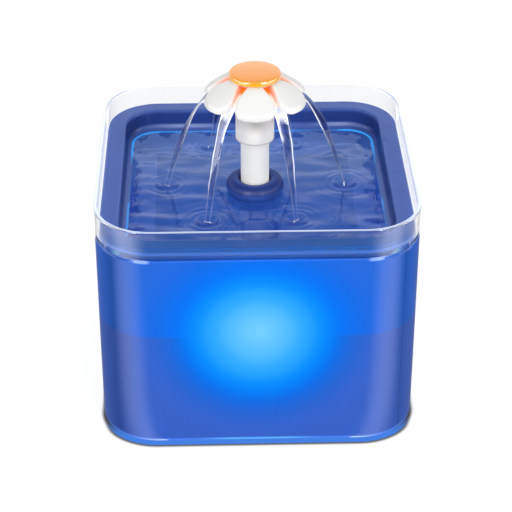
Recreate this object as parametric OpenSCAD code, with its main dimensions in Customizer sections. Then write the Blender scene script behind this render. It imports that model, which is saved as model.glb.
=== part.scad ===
// Pet water fountain: a lit square tank, a clear splash collar, a drinking tray with a flower
// spout, a filter basket hung under the tray and a submersible pump on the tank's floor.
// Millimetres, +Z up, front towards -Y. The origin is the middle of the footprint, at the
// surface that the fountain stands on.

/* [Tank] */
// Outside width and depth of the tank
tank_w = 170; // [160:1:200]
// Radius of the tank's upright corners
corner_r = 30.4; // [26:0.1:40]
// Height of the tank, from its underside to its top edge
tank_h = 114.8; // [112:0.1:140]
// Thickness of the tank's walls
tank_wall = 2.4; // [2:0.1:3]
// Thickness of the tank's floor
tank_floor = 3; // [2.5:0.1:5]
// Radius round the tank's bottom edge
tank_edge_r = 3; // [1:0.5:6]
// Radius round the tank's top edge, where the seam shows
tank_lip_r = 0.8; // [0.4:0.1:1.2]

/* [Feet and cable outlet] */
// Radius of each anti-slip foot
foot_r = 9; // [6:0.5:12]
// How far a foot stands out below the tank
foot_h = 0.8; // [0.5:0.1:2]
// How deep a foot sits in the tank's floor
foot_seat = 1.2; // [0.8:0.1:1.5]
// Distance of each foot's middle from the fountain's middle, along X and along Y
foot_at = 60; // [50:1:64]
// Radius of the cable outlet's bore in its grommet
cable_r = 2; // [1.5:0.1:3]
// Radius of the grommet's neck, in the tank's wall
grommet_r = 4.4; // [4:0.1:6]
// Radius of the grommet's two flanges
grommet_flange_r = 6.5; // [6.3:0.1:8]
// Thickness of each grommet flange
grommet_flange_t = 1; // [0.8:0.1:1.2]
// Distance of the cable outlet below the tank's top edge
grommet_drop = 16; // [15:0.5:30]

/* [Splash collar] */
// Height of the collar above the tank's top edge
collar_h = 17.2; // [14:0.1:30]
// Thickness of the collar's wall
collar_wall = 2.1; // [1.6:0.1:3]
// Thickness of the flange that stands on the tank and carries the tray
flange_t = 2.8; // [2:0.1:4]
// How far the collar's spigot reaches down into the tank
spigot_h = 6; // [4:0.5:8]
// Thickness of the collar's spigot
spigot_t = 2; // [1.5:0.1:3]

/* [Drinking tray] */
// Width of the tray's flat rim
rim_w = 9.9; // [8:0.1:14]
// Thickness of the rim
rim_t = 2.6; // [2:0.1:3]
// Height of the rim's top above the collar's flange
rim_rise = 3.6; // [3.2:0.1:6]
// Thickness of the tray's walls and floor
tray_wall = 2.4; // [2:0.1:3]
// Depth of the rounded ledge below the rim's top, where the water line is
ledge_drop = 12.5; // [10:0.1:16]
// Width and radius of the rounded ledge
ledge_w = 4; // [3:0.1:5]
// Depth of the basin, from the rim's top to its floor
basin_depth = 29; // [26:0.5:36]
// Radius between the basin's wall and its floor
basin_r = 5; // [3:0.5:8]

/* [Tray neck] */
// Radius of the neck's throat, round the riser
throat_r = 9; // [8.6:0.1:11]
// Largest radius of the rolled lip
lip_r = 15.9; // [15.5:0.1:20]
// Radius of the lip's roll
lip_roll = 4.9; // [4:0.1:5.5]
// Height of the lip's crest above the basin's floor
neck_h = 24.5; // [22:0.5:30]
// Inside radius of the neck's column, where the water drains
drain_r = 10.5; // [10.3:0.1:11]
// Radius of the flare at the column's foot
flare_r = 6; // [3:0.5:8]
// Number of drain slots under the lip
drain_count = 8; // [4:1:10]
// Width of each drain slot
drain_w = 5; // [3:0.5:5.5]

/* [Riser and flower] */
// Outside radius of the riser tube
riser_r = 7.75; // [7.3:0.05:8.2]
// Wall of the riser tube
riser_wall = 1.75; // [1.2:0.05:1.9]
// Height of the riser's end above the neck's crest
riser_h = 45.5; // [40:0.5:60]
// Outside radius of the flower's sleeve
sleeve_r = 10.45; // [9.8:0.05:12]
// How far the sleeve reaches down over the riser
sleeve_h = 21; // [15:0.5:28]
// Height of the cap's underside above the riser's end
flower_h = 15.2; // [14.5:0.1:18]
// Number of petals
petal_count = 6; // [5:1:7]
// Reach of the petals from the flower's middle
petal_r = 28.2; // [26:0.1:34]
// Distance of the petals' widest place from the flower's middle
petal_wide_at = 21.8; // [20:0.1:24]
// Radius of the petals' rounded corners
petal_corner_r = 5.1; // [4:0.1:5.5]
// Half of the widest petal width
petal_half_w = 11.1; // [9:0.1:11.3]
// Thickness of a petal
petal_t = 1.8; // [1.4:0.1:2.2]
// Drop of the petals' tips below the cap's underside
petal_drop = 12.8; // [10:0.1:16]
// Radius of the arch that the petals follow
petal_arch_r = 28; // [24:0.5:40]
// Largest radius of the flower's cap
cap_r = 13.9; // [12:0.1:15]
// Thickness of the flower's cap
cap_t = 3.2; // [2.6:0.1:5]

/* [Filter] */
// Outside radius of the filter basket
basket_r = 46; // [42:0.5:50]
// Height of the filter basket
basket_h = 24.4; // [22:0.1:26]
// Wall of the filter basket
basket_wall = 1.6; // [1.2:0.1:2.4]
// Thickness of the upper filter pad
top_pad_t = 3.6; // [3:0.1:5]
// Depth of the carbon layer
carbon_t = 9; // [7:0.1:10]
// Depth of the resin layer
resin_t = 3.4; // [2:0.1:4]
// Thickness of the lower filter pad
low_pad_t = 2; // [1.4:0.1:3]
// Height of the ring under the tray that holds the basket
holder_h = 8; // [5:0.5:12]

/* [Pump] */
// Width of the pump
pump_w = 42; // [38:1:50]
// Height of the pump's casing
pump_h = 34; // [33:0.5:36]
// Height of the suction cups, from the tank's floor to the casing
cup_h = 5.2; // [4:0.1:7]
// Radius of each suction cup
cup_r = 7; // [5:0.5:9]
// Radius of the volute chamber
volute_r = 12; // [11.5:0.1:13]
// Radius of the impeller
impeller_r = 10.4; // [9:0.1:11]
// Radius of the rotor's magnet
magnet_r = 5.9; // [5:0.1:6.1]
// Radius of the rotor's shaft
shaft_r = 1.25; // [1:0.05:1.5]
// Outside radius of the outlet nozzle
nozzle_r = 5; // [4.6:0.05:5.2]
// Height of the nozzle's tube above its shoulder
nozzle_h = 6; // [5:0.5:8]
// Depth of the inlet strainer, front to back
strainer_d = 16; // [12:0.5:22]

/* [Clearances] */
// Gap between pieces that slide or lift apart
fit_gap = 0.3; // [0.2:0.05:0.5]
// Gap between the tray's rim and the collar's wall
rim_gap = 0.5; // [0.3:0.05:1]
// Radial gap of a running fit
run_gap = 0.05; // [0.03:0.01:0.08]

/* [Hidden] */

$fn = 64;
// How far a cutting shape runs past the face that it opens
past = 1;

// Tank
tank_half = tank_w / 2;
corner_at = tank_half - corner_r;
tank_top = foot_h + tank_h;
floor_z = foot_h + tank_floor;
grommet_z = tank_top - grommet_drop;

// Collar
spigot_half = tank_half - tank_wall - fit_gap;
collar_top = tank_top + collar_h;
collar_in = tank_half - collar_wall;
flange_z = tank_top + flange_t;

// Tray
rim_half = collar_in - rim_gap;
rim_z = flange_z + rim_rise;
rim_edge_r = 1.2;
skirt_t = 2;
basin_half = rim_half - rim_w;
water_half = basin_half - ledge_w;
ledge_z = rim_z - ledge_drop;
basin_z = rim_z - basin_depth;
tray_under = basin_z - tray_wall;
neck_top = basin_z + neck_h;
column_wall = 2.2;
throat_depth = 7.5;
drain_h = 2.4;
drain_top = ledge_z - 0.5;

// Riser and flower
bore_r = riser_r - riser_wall;
riser_top = neck_top + riser_h;
lug_t = 2.7;
lug_r = drain_r + 1.2;
lug_w = 5;
lug_count = 3;
socket_r = riser_r + fit_gap;
sleeve_z = riser_top - sleeve_h;
sleeve_top = riser_top + 4;
cap_z = riser_top + flower_h;
cap_top = cap_z + cap_t;
hub_tube_r = 6;
hub_tube_wall = 1.4;
petal_ring_r = 12;
petal_ring_t = 1.5;
cap_boss_r = 6.2;
dish_t = 1.6;
// The hub dish's upper face, from the water tube out to its rim: distance and height
dish = [
    [hub_tube_r - hub_tube_wall, cap_z - 3.1],
    [petal_ring_r, cap_z - 4],
    [petal_r - 6.7, cap_z - 7.8]
];

// Filter basket
basket_top = tray_under - 0.2;
basket_z = basket_top - basket_h;
basket_floor = 1.8;
media_z = basket_z + basket_floor;
media_r = basket_r - basket_wall - fit_gap;
stem_gap_r = riser_r + fit_gap;
stem_wall = 1.6;
media_in_r = stem_gap_r + stem_wall + fit_gap;
layer_gap = 0.2;
resin_z = media_z + low_pad_t + layer_gap;
carbon_z = resin_z + resin_t + layer_gap;
top_pad_z = carbon_z + carbon_t + layer_gap;
lid_z = top_pad_z + top_pad_t + layer_gap;
lid_t = 1.4;
lid_in_r = lug_r + 2.3;
stem_top = top_pad_z + top_pad_t;
basket_slots = 18;
lid_slots = 12;

// Pump: the rotor's axis runs along Y, and the volute lies under the nozzle
pump_z = floor_z + cup_h;
pump_top = pump_z + pump_h;
axis_z = pump_z + pump_h / 2;
casing_r = 7;
casing_front = -35;
casing_back = 8.5;
chamber_front = -7.5;
wall_front = -9.6;
motor_r = 14.6;
can_r = magnet_r + 0.7;
can_wall = 1.2;
can_end = -29;
board_y = -32;
board_t = 1.6;
led_t = 1.2;
lens_flange_t = 1.4;
end_cover_t = 2;
window_r = 11;
bush_r = 3;
bush_l = 1.8;
rotor_front = can_end + bush_l + fit_gap;
cover_t = 2;
spider_y = casing_back - 1.3;
spider_l = cover_t + 1.3;
hub_r = 3.2;
shoulder_r = 9;
shoulder_h = 7.5;
outlet_r = 6;
nozzle_bore_r = nozzle_r - 1.4;
nozzle_spigot = 4;
nozzle_z = pump_top + shoulder_h;
riser_z = nozzle_z + fit_gap;
seal_h = 4;
seal_cord_r = 0.55;
seal_ring_r = outlet_r - seal_cord_r;
strainer_y = casing_back + cover_t + fit_gap;
strainer_wall = 1.6;
strainer_back = strainer_y + strainer_d;
cup_x = 13;
cup_ys = [-27, 0];
stud_r = 1.8;
stud_h = 3;
gland_y = -27;
gland_r = 4;
gland_h = 5;
stator_r = 14.3;
yoke_in_r = 11.8;
tooth_in_r = can_r + can_wall + 0.3;
tooth_w = 3.2;
tooth_count = 6;
stator_l = 15;
stator_y = -19.5;
coil_w = 6;
coil_over = 1.2;
slider_w = 16;
slider_h = 7;
slider_t = 1.4;
slider_travel = 4;
rail_t = 1.2;
rail_lip = 0.6;
tab_w = 2.4;
tab_h = 5;
port_w = 10;
port_h = 4;

// ---- Shared shapes ----

// A flat bar between two distances and two heights
module bar(x0, x1, z0, z1) {
    translate([x0, z0]) square([x1 - x0, z1 - z0]);
}

// A quarter of a flat ring, turned so that 0 is the upper right quarter
module quarter_ring(centre, r_in, r_out, turn) {
    translate(centre) rotate(turn) intersection() {
        difference() {
            circle(r_out);
            circle(r_in);
        }
        square(r_out);
    }
}

// Sweeps a wall section round the fountain's rounded square. In the section, X is the
// distance from the fountain's middle and Y is the height.
module sweep_around() {
    for (turn = [0:90:270]) rotate(turn) {
        translate([corner_at, corner_at, 0])
            rotate_extrude(angle = 90) translate([-corner_at, 0]) children();
        translate([0, corner_at, 0])
            rotate([90, 0, 0]) linear_extrude(2 * corner_at) children();
    }
}

// The square inside the sweep, as a floor that runs a little into the swept part
module floor_square(z0, z1) {
    half = corner_at + past;
    translate([-half, -half, z0]) cube([2 * half, 2 * half, z1 - z0]);
}

// A ring or disc between two heights
module ring(r_in, r_out, z0, z1) {
    translate([0, 0, z0]) difference() {
        cylinder(r = r_out, h = z1 - z0);
        if (r_in > 0) translate([0, 0, -past]) cylinder(r = r_in, h = z1 - z0 + 2 * past);
    }
}

// Turns what is drawn along Z so that it lies along the pump's axis, at Y = y
module along_pump(y) {
    translate([0, y, axis_z]) rotate([-90, 0, 0]) children();
}

// A rounded rectangle
module rounded_rect(w, h, r) {
    square([w, h - 2 * r], center = true);
    square([w - 2 * r, h], center = true);
    for (x = [-1, 1], y = [-1, 1])
        translate([x * (w / 2 - r), y * (h / 2 - r)]) circle(r);
}

// A block of the pump's outline from y0 to y1, inset all round
module pump_block(y0, y1, inset = 0) {
    along_pump(y0)
        linear_extrude(y1 - y0) rounded_rect(pump_w - 2 * inset, pump_h - 2 * inset, casing_r - inset);
}

// Places its children at the four corners of a square
module at_corners(d) {
    for (x = [-d, d], y = [-d, d]) translate([x, y, 0]) children();
}

// ---- Tank ----

module tank_section() {
    difference() {
        union() {
            bar(corner_at, tank_half, foot_h + tank_edge_r, tank_top - tank_lip_r);
            bar(corner_at, tank_half - tank_edge_r, foot_h, foot_h + tank_edge_r);
            translate([tank_half - tank_edge_r, foot_h + tank_edge_r]) circle(tank_edge_r);
            bar(corner_at, tank_half - tank_lip_r, tank_top - 2 * tank_lip_r, tank_top);
            translate([tank_half - tank_lip_r, tank_top - tank_lip_r]) circle(tank_lip_r);
        }
        translate([0, floor_z]) square([tank_half - tank_wall, tank_h]);
    }
}

module tank() {
    color("royalblue") difference() {
        union() {
            sweep_around() tank_section();
            floor_square(foot_h, floor_z);
        }
        at_corners(foot_at) translate([0, 0, foot_h - past])
            cylinder(r = foot_r + fit_gap, h = foot_seat + past);
        translate([0, tank_half + past, grommet_z]) rotate([90, 0, 0]) {
            cylinder(r = grommet_r + run_gap, h = tank_wall + 2 * past);
            cylinder(r = grommet_flange_r + run_gap, h = grommet_flange_t + past);
        }
    }
}

module anti_slip_feet() {
    color("darkslateblue") at_corners(foot_at) cylinder(r = foot_r, h = foot_h + foot_seat);
}

module cable_grommet() {
    color("midnightblue") translate([0, tank_half, grommet_z]) rotate([90, 0, 0]) difference() {
        union() {
            cylinder(r = grommet_flange_r, h = grommet_flange_t);
            cylinder(r = grommet_r, h = tank_wall + grommet_flange_t);
            translate([0, 0, tank_wall]) cylinder(r = grommet_flange_r, h = grommet_flange_t);
        }
        translate([0, 0, -past]) cylinder(r = cable_r, h = tank_wall + grommet_flange_t + 2 * past);
    }
}

// ---- Splash collar ----

module collar_section() {
    top_r = collar_wall / 2;
    bar(collar_in, tank_half, tank_top + tank_lip_r, collar_top - top_r);
    translate([tank_half - top_r, collar_top - top_r]) circle(top_r);
    bar(spigot_half - spigot_t, tank_half - tank_lip_r, tank_top, flange_z);
    bar(collar_in, tank_half, tank_top + tank_lip_r, flange_z);
    translate([tank_half - tank_lip_r, tank_top + tank_lip_r]) circle(tank_lip_r);
    bar(spigot_half - spigot_t, spigot_half, tank_top - spigot_h, flange_z);
}

module splash_collar() {
    color("lightcyan", 0.4) sweep_around() collar_section();
}

// ---- Drinking tray ----

module tray_section() {
    bar(basin_half, rim_half, rim_z - rim_t, rim_z - rim_edge_r);
    bar(basin_half + rim_edge_r, rim_half - rim_edge_r, rim_z - rim_t, rim_z);
    for (x = [basin_half + rim_edge_r, rim_half - rim_edge_r])
        translate([x, rim_z - rim_edge_r]) circle(rim_edge_r);
    bar(rim_half - skirt_t, rim_half, flange_z, rim_z - rim_edge_r);
    bar(basin_half, basin_half + tray_wall, ledge_z + ledge_w, rim_z - rim_edge_r);
    quarter_ring([water_half, ledge_z + ledge_w], ledge_w, ledge_w + tray_wall, -90);
    bar(water_half, water_half + tray_wall, basin_z + basin_r, ledge_z - tray_wall / 2);
    quarter_ring([water_half - basin_r, basin_z + basin_r], basin_r, basin_r + tray_wall, -90);
    bar(corner_at, water_half - basin_r, tray_under, basin_z);
}

module neck_section() {
    lip_x = lip_r - lip_roll;
    lip_z = neck_top - lip_roll;
    difference() {
        union() {
            translate([lip_x, lip_z]) circle(lip_roll);
            bar(0, drain_r + column_wall, tray_under, lip_z);
            difference() {
                bar(0, drain_r + column_wall + flare_r, basin_z, basin_z + flare_r);
                translate([drain_r + column_wall + flare_r, basin_z + flare_r]) circle(flare_r);
            }
        }
        bar(-past, throat_r, tray_under - past, neck_top + past);
        bar(-past, drain_r, tray_under - past, neck_top - throat_depth);
    }
}

module drinking_tray() {
    holder_in = basket_r + fit_gap;
    color("mediumblue") difference() {
        union() {
            sweep_around() tray_section();
            difference() {
                floor_square(tray_under, basin_z);
                translate([0, 0, tray_under - past])
                    cylinder(r = drain_r + column_wall / 2, h = tray_wall + 2 * past);
            }
            rotate_extrude() neck_section();
            ring(holder_in, holder_in + tray_wall, tray_under - holder_h, tray_under);
        }
        for (i = [0:drain_count - 1]) rotate((i + 0.5) * 360 / drain_count)
            translate([throat_r - past, -drain_w / 2, drain_top - drain_h])
                cube([lip_r - throat_r + 2 * past, drain_w, drain_h]);
    }
}

// ---- Filter ----

module filter_basket() {
    slot_h = basket_h - basket_floor - holder_h - 3;
    color("white") difference() {
        union() {
            ring(basket_r - basket_wall, basket_r, basket_z, basket_top);
            ring(stem_gap_r, basket_r, basket_z, media_z);
            ring(stem_gap_r, stem_gap_r + stem_wall, basket_z, stem_top);
        }
        for (i = [0:basket_slots - 1]) rotate(i * 360 / basket_slots) {
            translate([basket_r - 2 * basket_wall, -2, media_z + 1]) cube([3 * basket_wall, 4, slot_h]);
            translate([stem_gap_r + stem_wall + 4, -1.5, basket_z - past])
                cube([basket_r - stem_gap_r - stem_wall - 9, 3, basket_floor + 2 * past]);
        }
    }
}

module filter_lid() {
    color("whitesmoke") difference() {
        ring(lid_in_r, media_r, lid_z, lid_z + lid_t);
        for (i = [0:lid_slots - 1]) rotate(i * 360 / lid_slots)
            translate([lid_in_r + 3, -2, lid_z - past])
                cube([media_r - lid_in_r - 6, 4, lid_t + 2 * past]);
    }
}

module upper_filter_pad() {
    color("snow") ring(media_in_r, media_r, top_pad_z, top_pad_z + top_pad_t);
}

module carbon_bed() {
    color("dimgray") ring(media_in_r, media_r, carbon_z, carbon_z + carbon_t);
}

module resin_bed() {
    color("goldenrod") ring(media_in_r, media_r, resin_z, resin_z + resin_t);
}

module lower_filter_pad() {
    color("snow") ring(media_in_r, media_r, media_z, media_z + low_pad_t);
}

// ---- Riser and flower ----

module riser_tube() {
    color("whitesmoke") {
        difference() {
            union() {
                translate([0, 0, riser_z]) cylinder(r = riser_r, h = riser_top - riser_z);
                for (i = [0:lug_count - 1]) rotate(i * 360 / lug_count)
                    translate([riser_r - past, -lug_w / 2, tray_under - fit_gap - lug_t])
                        cube([lug_r - riser_r + past, lug_w, lug_t]);
            }
            translate([0, 0, riser_z - past]) cylinder(r = bore_r, h = riser_top - riser_z + 2 * past);
        }
    }
}

module riser_seal() {
    color("dimgray") ring(nozzle_r + run_gap, bore_r, riser_z, riser_z + seal_h);
}

module flower_sleeve() {
    stop_z = riser_top + fit_gap;
    color("white") difference() {
        translate([0, 0, sleeve_z]) cylinder(r = sleeve_r, h = sleeve_top - sleeve_z);
        translate([0, 0, sleeve_z - past]) cylinder(r = socket_r, h = stop_z - sleeve_z + past);
        translate([0, 0, sleeve_z]) cylinder(r = hub_tube_r + run_gap, h = sleeve_top - sleeve_z + past);
    }
}

module flower_hub() {
    tube_in = hub_tube_r - hub_tube_wall;
    collar_r = sleeve_r - 1;
    color("darkorange") rotate_extrude() polygon([
        [tube_in, riser_top + 1], [hub_tube_r, riser_top + 1], [hub_tube_r, sleeve_top],
        [collar_r, sleeve_top], [collar_r, lookup(collar_r, dish) - dish_t],
        dish[1] - [0, dish_t], dish[2] - [0, dish_t], dish[2], dish[1], dish[0]
    ]);
}

// Where the petals' outer arch has its centre, from its two ends and its radius
arch_a = [petal_ring_r, cap_z];
arch_b = [petal_r, cap_z - petal_drop];
arch_half = norm(arch_b - arch_a) / 2;
arch_dir = (arch_b - arch_a) / (2 * arch_half);
arch_centre = (arch_a + arch_b) / 2
    + [arch_dir[1], -arch_dir[0]] * sqrt(pow(petal_arch_r, 2) - pow(arch_half, 2));

module petal_section() {
    difference() {
        intersection() {
            translate(arch_centre) circle(petal_arch_r);
            bar(cap_boss_r + fit_gap, petal_r, cap_z - petal_drop - petal_t, cap_z);
        }
        difference() {
            translate(arch_centre) circle(petal_arch_r - petal_t);
            bar(0, dish[2][0], 0, cap_z);
        }
        polygon(concat(dish, [[dish[2][0], 0], [dish[0][0], 0]]));
    }
}

module petal_outline() {
    hull() {
        translate([petal_ring_r * 0.65, 0]) circle(0.5);
        translate([petal_r - 8.5, 0]) circle(8.5);
        for (side = [-1, 1])
            translate([petal_wide_at, side * (petal_half_w - petal_corner_r)]) circle(petal_corner_r);
    }
}

module flower_petals() {
    color("white") {
        intersection() {
            rotate_extrude() petal_section();
            translate([0, 0, cap_z - petal_drop - 2 * petal_t]) linear_extrude(petal_drop + 3 * petal_t)
                for (i = [0:petal_count - 1]) rotate(-90 + i * 360 / petal_count) petal_outline();
        }
        ring(cap_boss_r + fit_gap, petal_ring_r, cap_z - petal_ring_t, cap_z);
    }
}

module flower_cap() {
    rim_up = cap_t * 0.45;
    color("orange") {
        rotate_extrude() polygon([
            [0, cap_z], [cap_r - 0.8, cap_z], [cap_r, cap_z + rim_up],
            [cap_r - 0.9, cap_top], [0, cap_top]
        ]);
        ring(0, cap_boss_r, cap_z - petal_ring_t, cap_z);
    }
}

// ---- Pump ----

module pump_housing() {
    color("lightsteelblue") difference() {
        union() {
            difference() {
                pump_block(casing_front, casing_back);
                along_pump(casing_front - past) cylinder(r = motor_r, h = wall_front - casing_front + past);
            }
            along_pump(can_end - can_wall) cylinder(r = can_r + can_wall, h = wall_front - can_end + 2 * can_wall);
        }
        along_pump(can_end) difference() {
            cylinder(r = can_r, h = chamber_front - can_end + past);
            difference() {
                cylinder(r = bush_r + 1.2, h = bush_l);
                cylinder(r = bush_r, h = bush_l);
            }
        }
        along_pump(chamber_front) cylinder(r = volute_r, h = casing_back - chamber_front + past);
        translate([0, 0, axis_z]) cylinder(r = nozzle_bore_r, h = pump_h);
        translate([0, 0, pump_top - nozzle_spigot - fit_gap]) cylinder(r = outlet_r + run_gap, h = pump_h);
        for (x = [-cup_x, cup_x], y = cup_ys) translate([x, y, pump_z - past])
            cylinder(r = stud_r + run_gap, h = stud_h + past + fit_gap);
        translate([0, gland_y, axis_z + motor_r - 2]) cylinder(r = gland_r + run_gap, h = pump_h);
    }
}

module motor_end_cover() {
    color("slategray") difference() {
        pump_block(casing_front - end_cover_t, casing_front);
        along_pump(casing_front - end_cover_t - past) cylinder(r = window_r, h = end_cover_t + 2 * past);
    }
}

module led_lens() {
    color("azure", 0.6) {
        along_pump(casing_front) cylinder(r = motor_r - fit_gap, h = lens_flange_t);
        along_pump(casing_front - end_cover_t) cylinder(r = window_r - run_gap, h = end_cover_t);
    }
}

module leds() {
    led_ring = 9;
    color("aqua") for (turn = [0:90:270]) along_pump(board_y - led_t) rotate(turn)
        translate([led_ring - 1.75, -1.4, 0]) cube([3.5, 2.8, led_t]);
}

module driver_board() {
    color("darkgreen") along_pump(board_y) cylinder(r = motor_r - fit_gap, h = board_t);
}

module stator_core() {
    color("silver") along_pump(stator_y - stator_l / 2) {
        ring(yoke_in_r, stator_r, 0, stator_l);
        for (i = [0:tooth_count - 1]) rotate((i + 0.5) * 360 / tooth_count)
            translate([tooth_in_r, -tooth_w / 2, 0])
                cube([(yoke_in_r + stator_r) / 2 - tooth_in_r, tooth_w, stator_l]);
    }
}

module stator_coils() {
    coil_l = stator_l + 2 * coil_over;
    color("peru") along_pump(stator_y - coil_l / 2)
        for (i = [0:tooth_count - 1]) rotate((i + 0.5) * 360 / tooth_count) difference() {
            translate([tooth_in_r + 0.6, -coil_w / 2, 0])
                cube([yoke_in_r - tooth_in_r - 1.6, coil_w, coil_l]);
            translate([tooth_in_r, -tooth_w / 2, coil_over]) cube([yoke_in_r, tooth_w, stator_l]);
        }
}

module rotor_magnet() {
    color("dimgray") along_pump(rotor_front) ring(hub_r + run_gap, magnet_r, 0, wall_front - rotor_front);
}

module impeller() {
    vane_count = 6;
    vane_t = 1.4;
    back_y = chamber_front + 1;
    rotor_back = spider_y - fit_gap;
    color("ghostwhite") difference() {
        union() {
            along_pump(rotor_front) cylinder(r = hub_r, h = rotor_back - rotor_front);
            along_pump(back_y) cylinder(r = magnet_r, h = 2);
            along_pump(back_y) for (i = [0:vane_count - 1]) rotate(i * 360 / vane_count)
                translate([0, -vane_t / 2, 0]) cube([impeller_r, vane_t, rotor_back - back_y - 2]);
        }
        along_pump(rotor_front - past) cylinder(r = shaft_r + run_gap, h = rotor_back - rotor_front + 2 * past);
    }
}

module rotor_shaft() {
    color("gainsboro") along_pump(can_end) cylinder(r = shaft_r, h = spider_y + spider_l - can_end);
}

module shaft_bushes() {
    color("black") {
        along_pump(can_end) ring(shaft_r, bush_r, 0, bush_l);
        along_pump(spider_y) ring(shaft_r, bush_r, 0, spider_l);
    }
}

module volute_cover() {
    inlet_r = 7.5;
    color("lightslategray") difference() {
        union() {
            difference() {
                pump_block(casing_back, casing_back + cover_t);
                along_pump(casing_back - past) cylinder(r = inlet_r, h = cover_t + 2 * past);
            }
            along_pump(spider_y) cylinder(r = bush_r + 1.2, h = spider_l);
            along_pump(casing_back) for (turn = [0:120:240]) rotate(turn)
                translate([0, -0.8, 0]) cube([inlet_r + 1, 1.6, cover_t]);
        }
        along_pump(spider_y - past) cylinder(r = bush_r, h = spider_l + 2 * past);
    }
}

module strainer_cover() {
    slot_w = 2;
    pitch = 5;
    rail_z = slider_h / 2 + fit_gap;
    rail_w = slider_w + 2 * slider_travel + 2;
    color("steelblue") {
        difference() {
            pump_block(strainer_y, strainer_back);
            pump_block(strainer_y - past, strainer_back - strainer_wall, strainer_wall);
            for (i = [-3:3]) for (side = [-1, 1])
                translate([i * pitch - slot_w / 2, strainer_back - strainer_wall - past, axis_z + side * 9.5 - 3.5])
                    cube([slot_w, strainer_wall + 2 * past, 7]);
            translate([-port_w / 2, strainer_back - strainer_wall - past, axis_z - port_h / 2])
                cube([port_w, strainer_wall + 2 * past, port_h]);
        }
        for (side = [-1, 1])
            translate([-rail_w / 2, strainer_back, axis_z + side * (rail_z + rail_t / 2) - rail_t / 2])
                cube([rail_w, slider_t + rail_lip, rail_t]);
    }
}

module inlet_sponge() {
    color("darkslategray") pump_block(strainer_y, strainer_back - strainer_wall - fit_gap, strainer_wall + fit_gap);
}

module flow_slider() {
    color("white") {
        translate([-slider_w / 2, strainer_back + fit_gap, axis_z - slider_h / 2])
            cube([slider_w, slider_t, slider_h]);
        translate([-tab_w / 2, strainer_back + fit_gap, axis_z - tab_h / 2])
            cube([tab_w, slider_t + tab_w, tab_h]);
    }
}

module outlet_nozzle() {
    color("white") difference() {
        union() {
            translate([0, 0, pump_top - nozzle_spigot]) cylinder(r = outlet_r, h = nozzle_spigot + shoulder_h);
            translate([0, 0, pump_top]) cylinder(r = shoulder_r, h = shoulder_h);
            translate([0, 0, nozzle_z]) cylinder(r = nozzle_r, h = nozzle_h);
        }
        translate([0, 0, pump_top - nozzle_spigot - past])
            cylinder(r = nozzle_bore_r, h = nozzle_spigot + shoulder_h + nozzle_h + 2 * past);
        rotate_extrude() translate([seal_ring_r, pump_top - nozzle_spigot / 2]) circle(seal_cord_r + run_gap);
    }
}

module nozzle_seal() {
    color("black") rotate_extrude() translate([seal_ring_r, pump_top - nozzle_spigot / 2]) circle(seal_cord_r);
}

module suction_cups() {
    color("gray") for (x = [-cup_x, cup_x], y = cup_ys) translate([x, y, 0]) rotate_extrude() {
        polygon([
            [0, floor_z + 1.2], [cup_r - 1.4, floor_z], [cup_r, floor_z], [cup_r - 0.4, floor_z + 1],
            [stud_r + 1.4, pump_z - 1], [stud_r + 1.4, pump_z], [0, pump_z]
        ]);
        bar(0, stud_r, pump_z - 1, pump_z + stud_h);
    }
}

module pump_cable_seal() {
    base_z = axis_z + motor_r;
    color("black") translate([0, gland_y, 0]) ring(cable_r, gland_r, base_z, pump_top + gland_h);
}

tank();
anti_slip_feet();
cable_grommet();
splash_collar();
drinking_tray();
filter_basket();
filter_lid();
upper_filter_pad();
carbon_bed();
resin_bed();
lower_filter_pad();
riser_tube();
riser_seal();
flower_sleeve();
flower_hub();
flower_petals();
flower_cap();
pump_housing();
motor_end_cover();
led_lens();
leds();
driver_board();
stator_core();
stator_coils();
rotor_magnet();
impeller();
rotor_shaft();
shaft_bushes();
volute_cover();
strainer_cover();
inlet_sponge();
flow_slider();
outlet_nozzle();
nozzle_seal();
suction_cups();
pump_cable_seal();
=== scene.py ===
# %% [markdown]
# # A lit pet water fountain
#
# The fountain is a translucent blue tank with a pump and a lamp in it. A clear splash collar
# stands on the tank, a blue drinking tray hangs in the collar, and a flower on a riser tube
# throws six thin sheets of water back into the tray. The solid pieces were drawn in a CAD
# program and are loaded here as a fixed frame. This lesson gives them their finishes and adds
# what a CAD program draws badly: water, domed petals, fleece, foam and soft edges.
#
# Lengths are in metres, as Blender's are. `mm` turns a size in millimetres into metres.

import math

import bmesh
import bpy
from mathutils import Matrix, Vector, noise


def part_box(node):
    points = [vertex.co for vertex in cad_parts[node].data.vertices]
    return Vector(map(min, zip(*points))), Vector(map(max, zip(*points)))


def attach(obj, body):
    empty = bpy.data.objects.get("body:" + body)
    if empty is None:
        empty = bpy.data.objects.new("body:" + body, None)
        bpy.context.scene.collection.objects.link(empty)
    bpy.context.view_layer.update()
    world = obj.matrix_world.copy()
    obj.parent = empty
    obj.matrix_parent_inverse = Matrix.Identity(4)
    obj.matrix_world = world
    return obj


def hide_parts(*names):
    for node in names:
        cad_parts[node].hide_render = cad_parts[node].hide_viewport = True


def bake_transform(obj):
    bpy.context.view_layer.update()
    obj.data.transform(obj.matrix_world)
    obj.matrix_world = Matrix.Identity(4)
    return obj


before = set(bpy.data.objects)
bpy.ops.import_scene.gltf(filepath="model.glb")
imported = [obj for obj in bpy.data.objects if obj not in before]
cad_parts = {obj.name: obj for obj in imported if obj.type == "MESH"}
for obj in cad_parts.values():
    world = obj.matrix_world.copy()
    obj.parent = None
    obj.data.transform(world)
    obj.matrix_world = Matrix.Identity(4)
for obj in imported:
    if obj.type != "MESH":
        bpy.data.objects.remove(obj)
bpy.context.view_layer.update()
mm = 0.001
bpy.ops.object.select_all(action="DESELECT")

# %% [markdown]
# ## Camera
#
# A camera could be placed by eye, but a product is shown best from a plain, measured place:
# a distance, a height angle and a small turn about a target inside the object. A long lens
# keeps the tank's upright edges nearly parallel.

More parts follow.
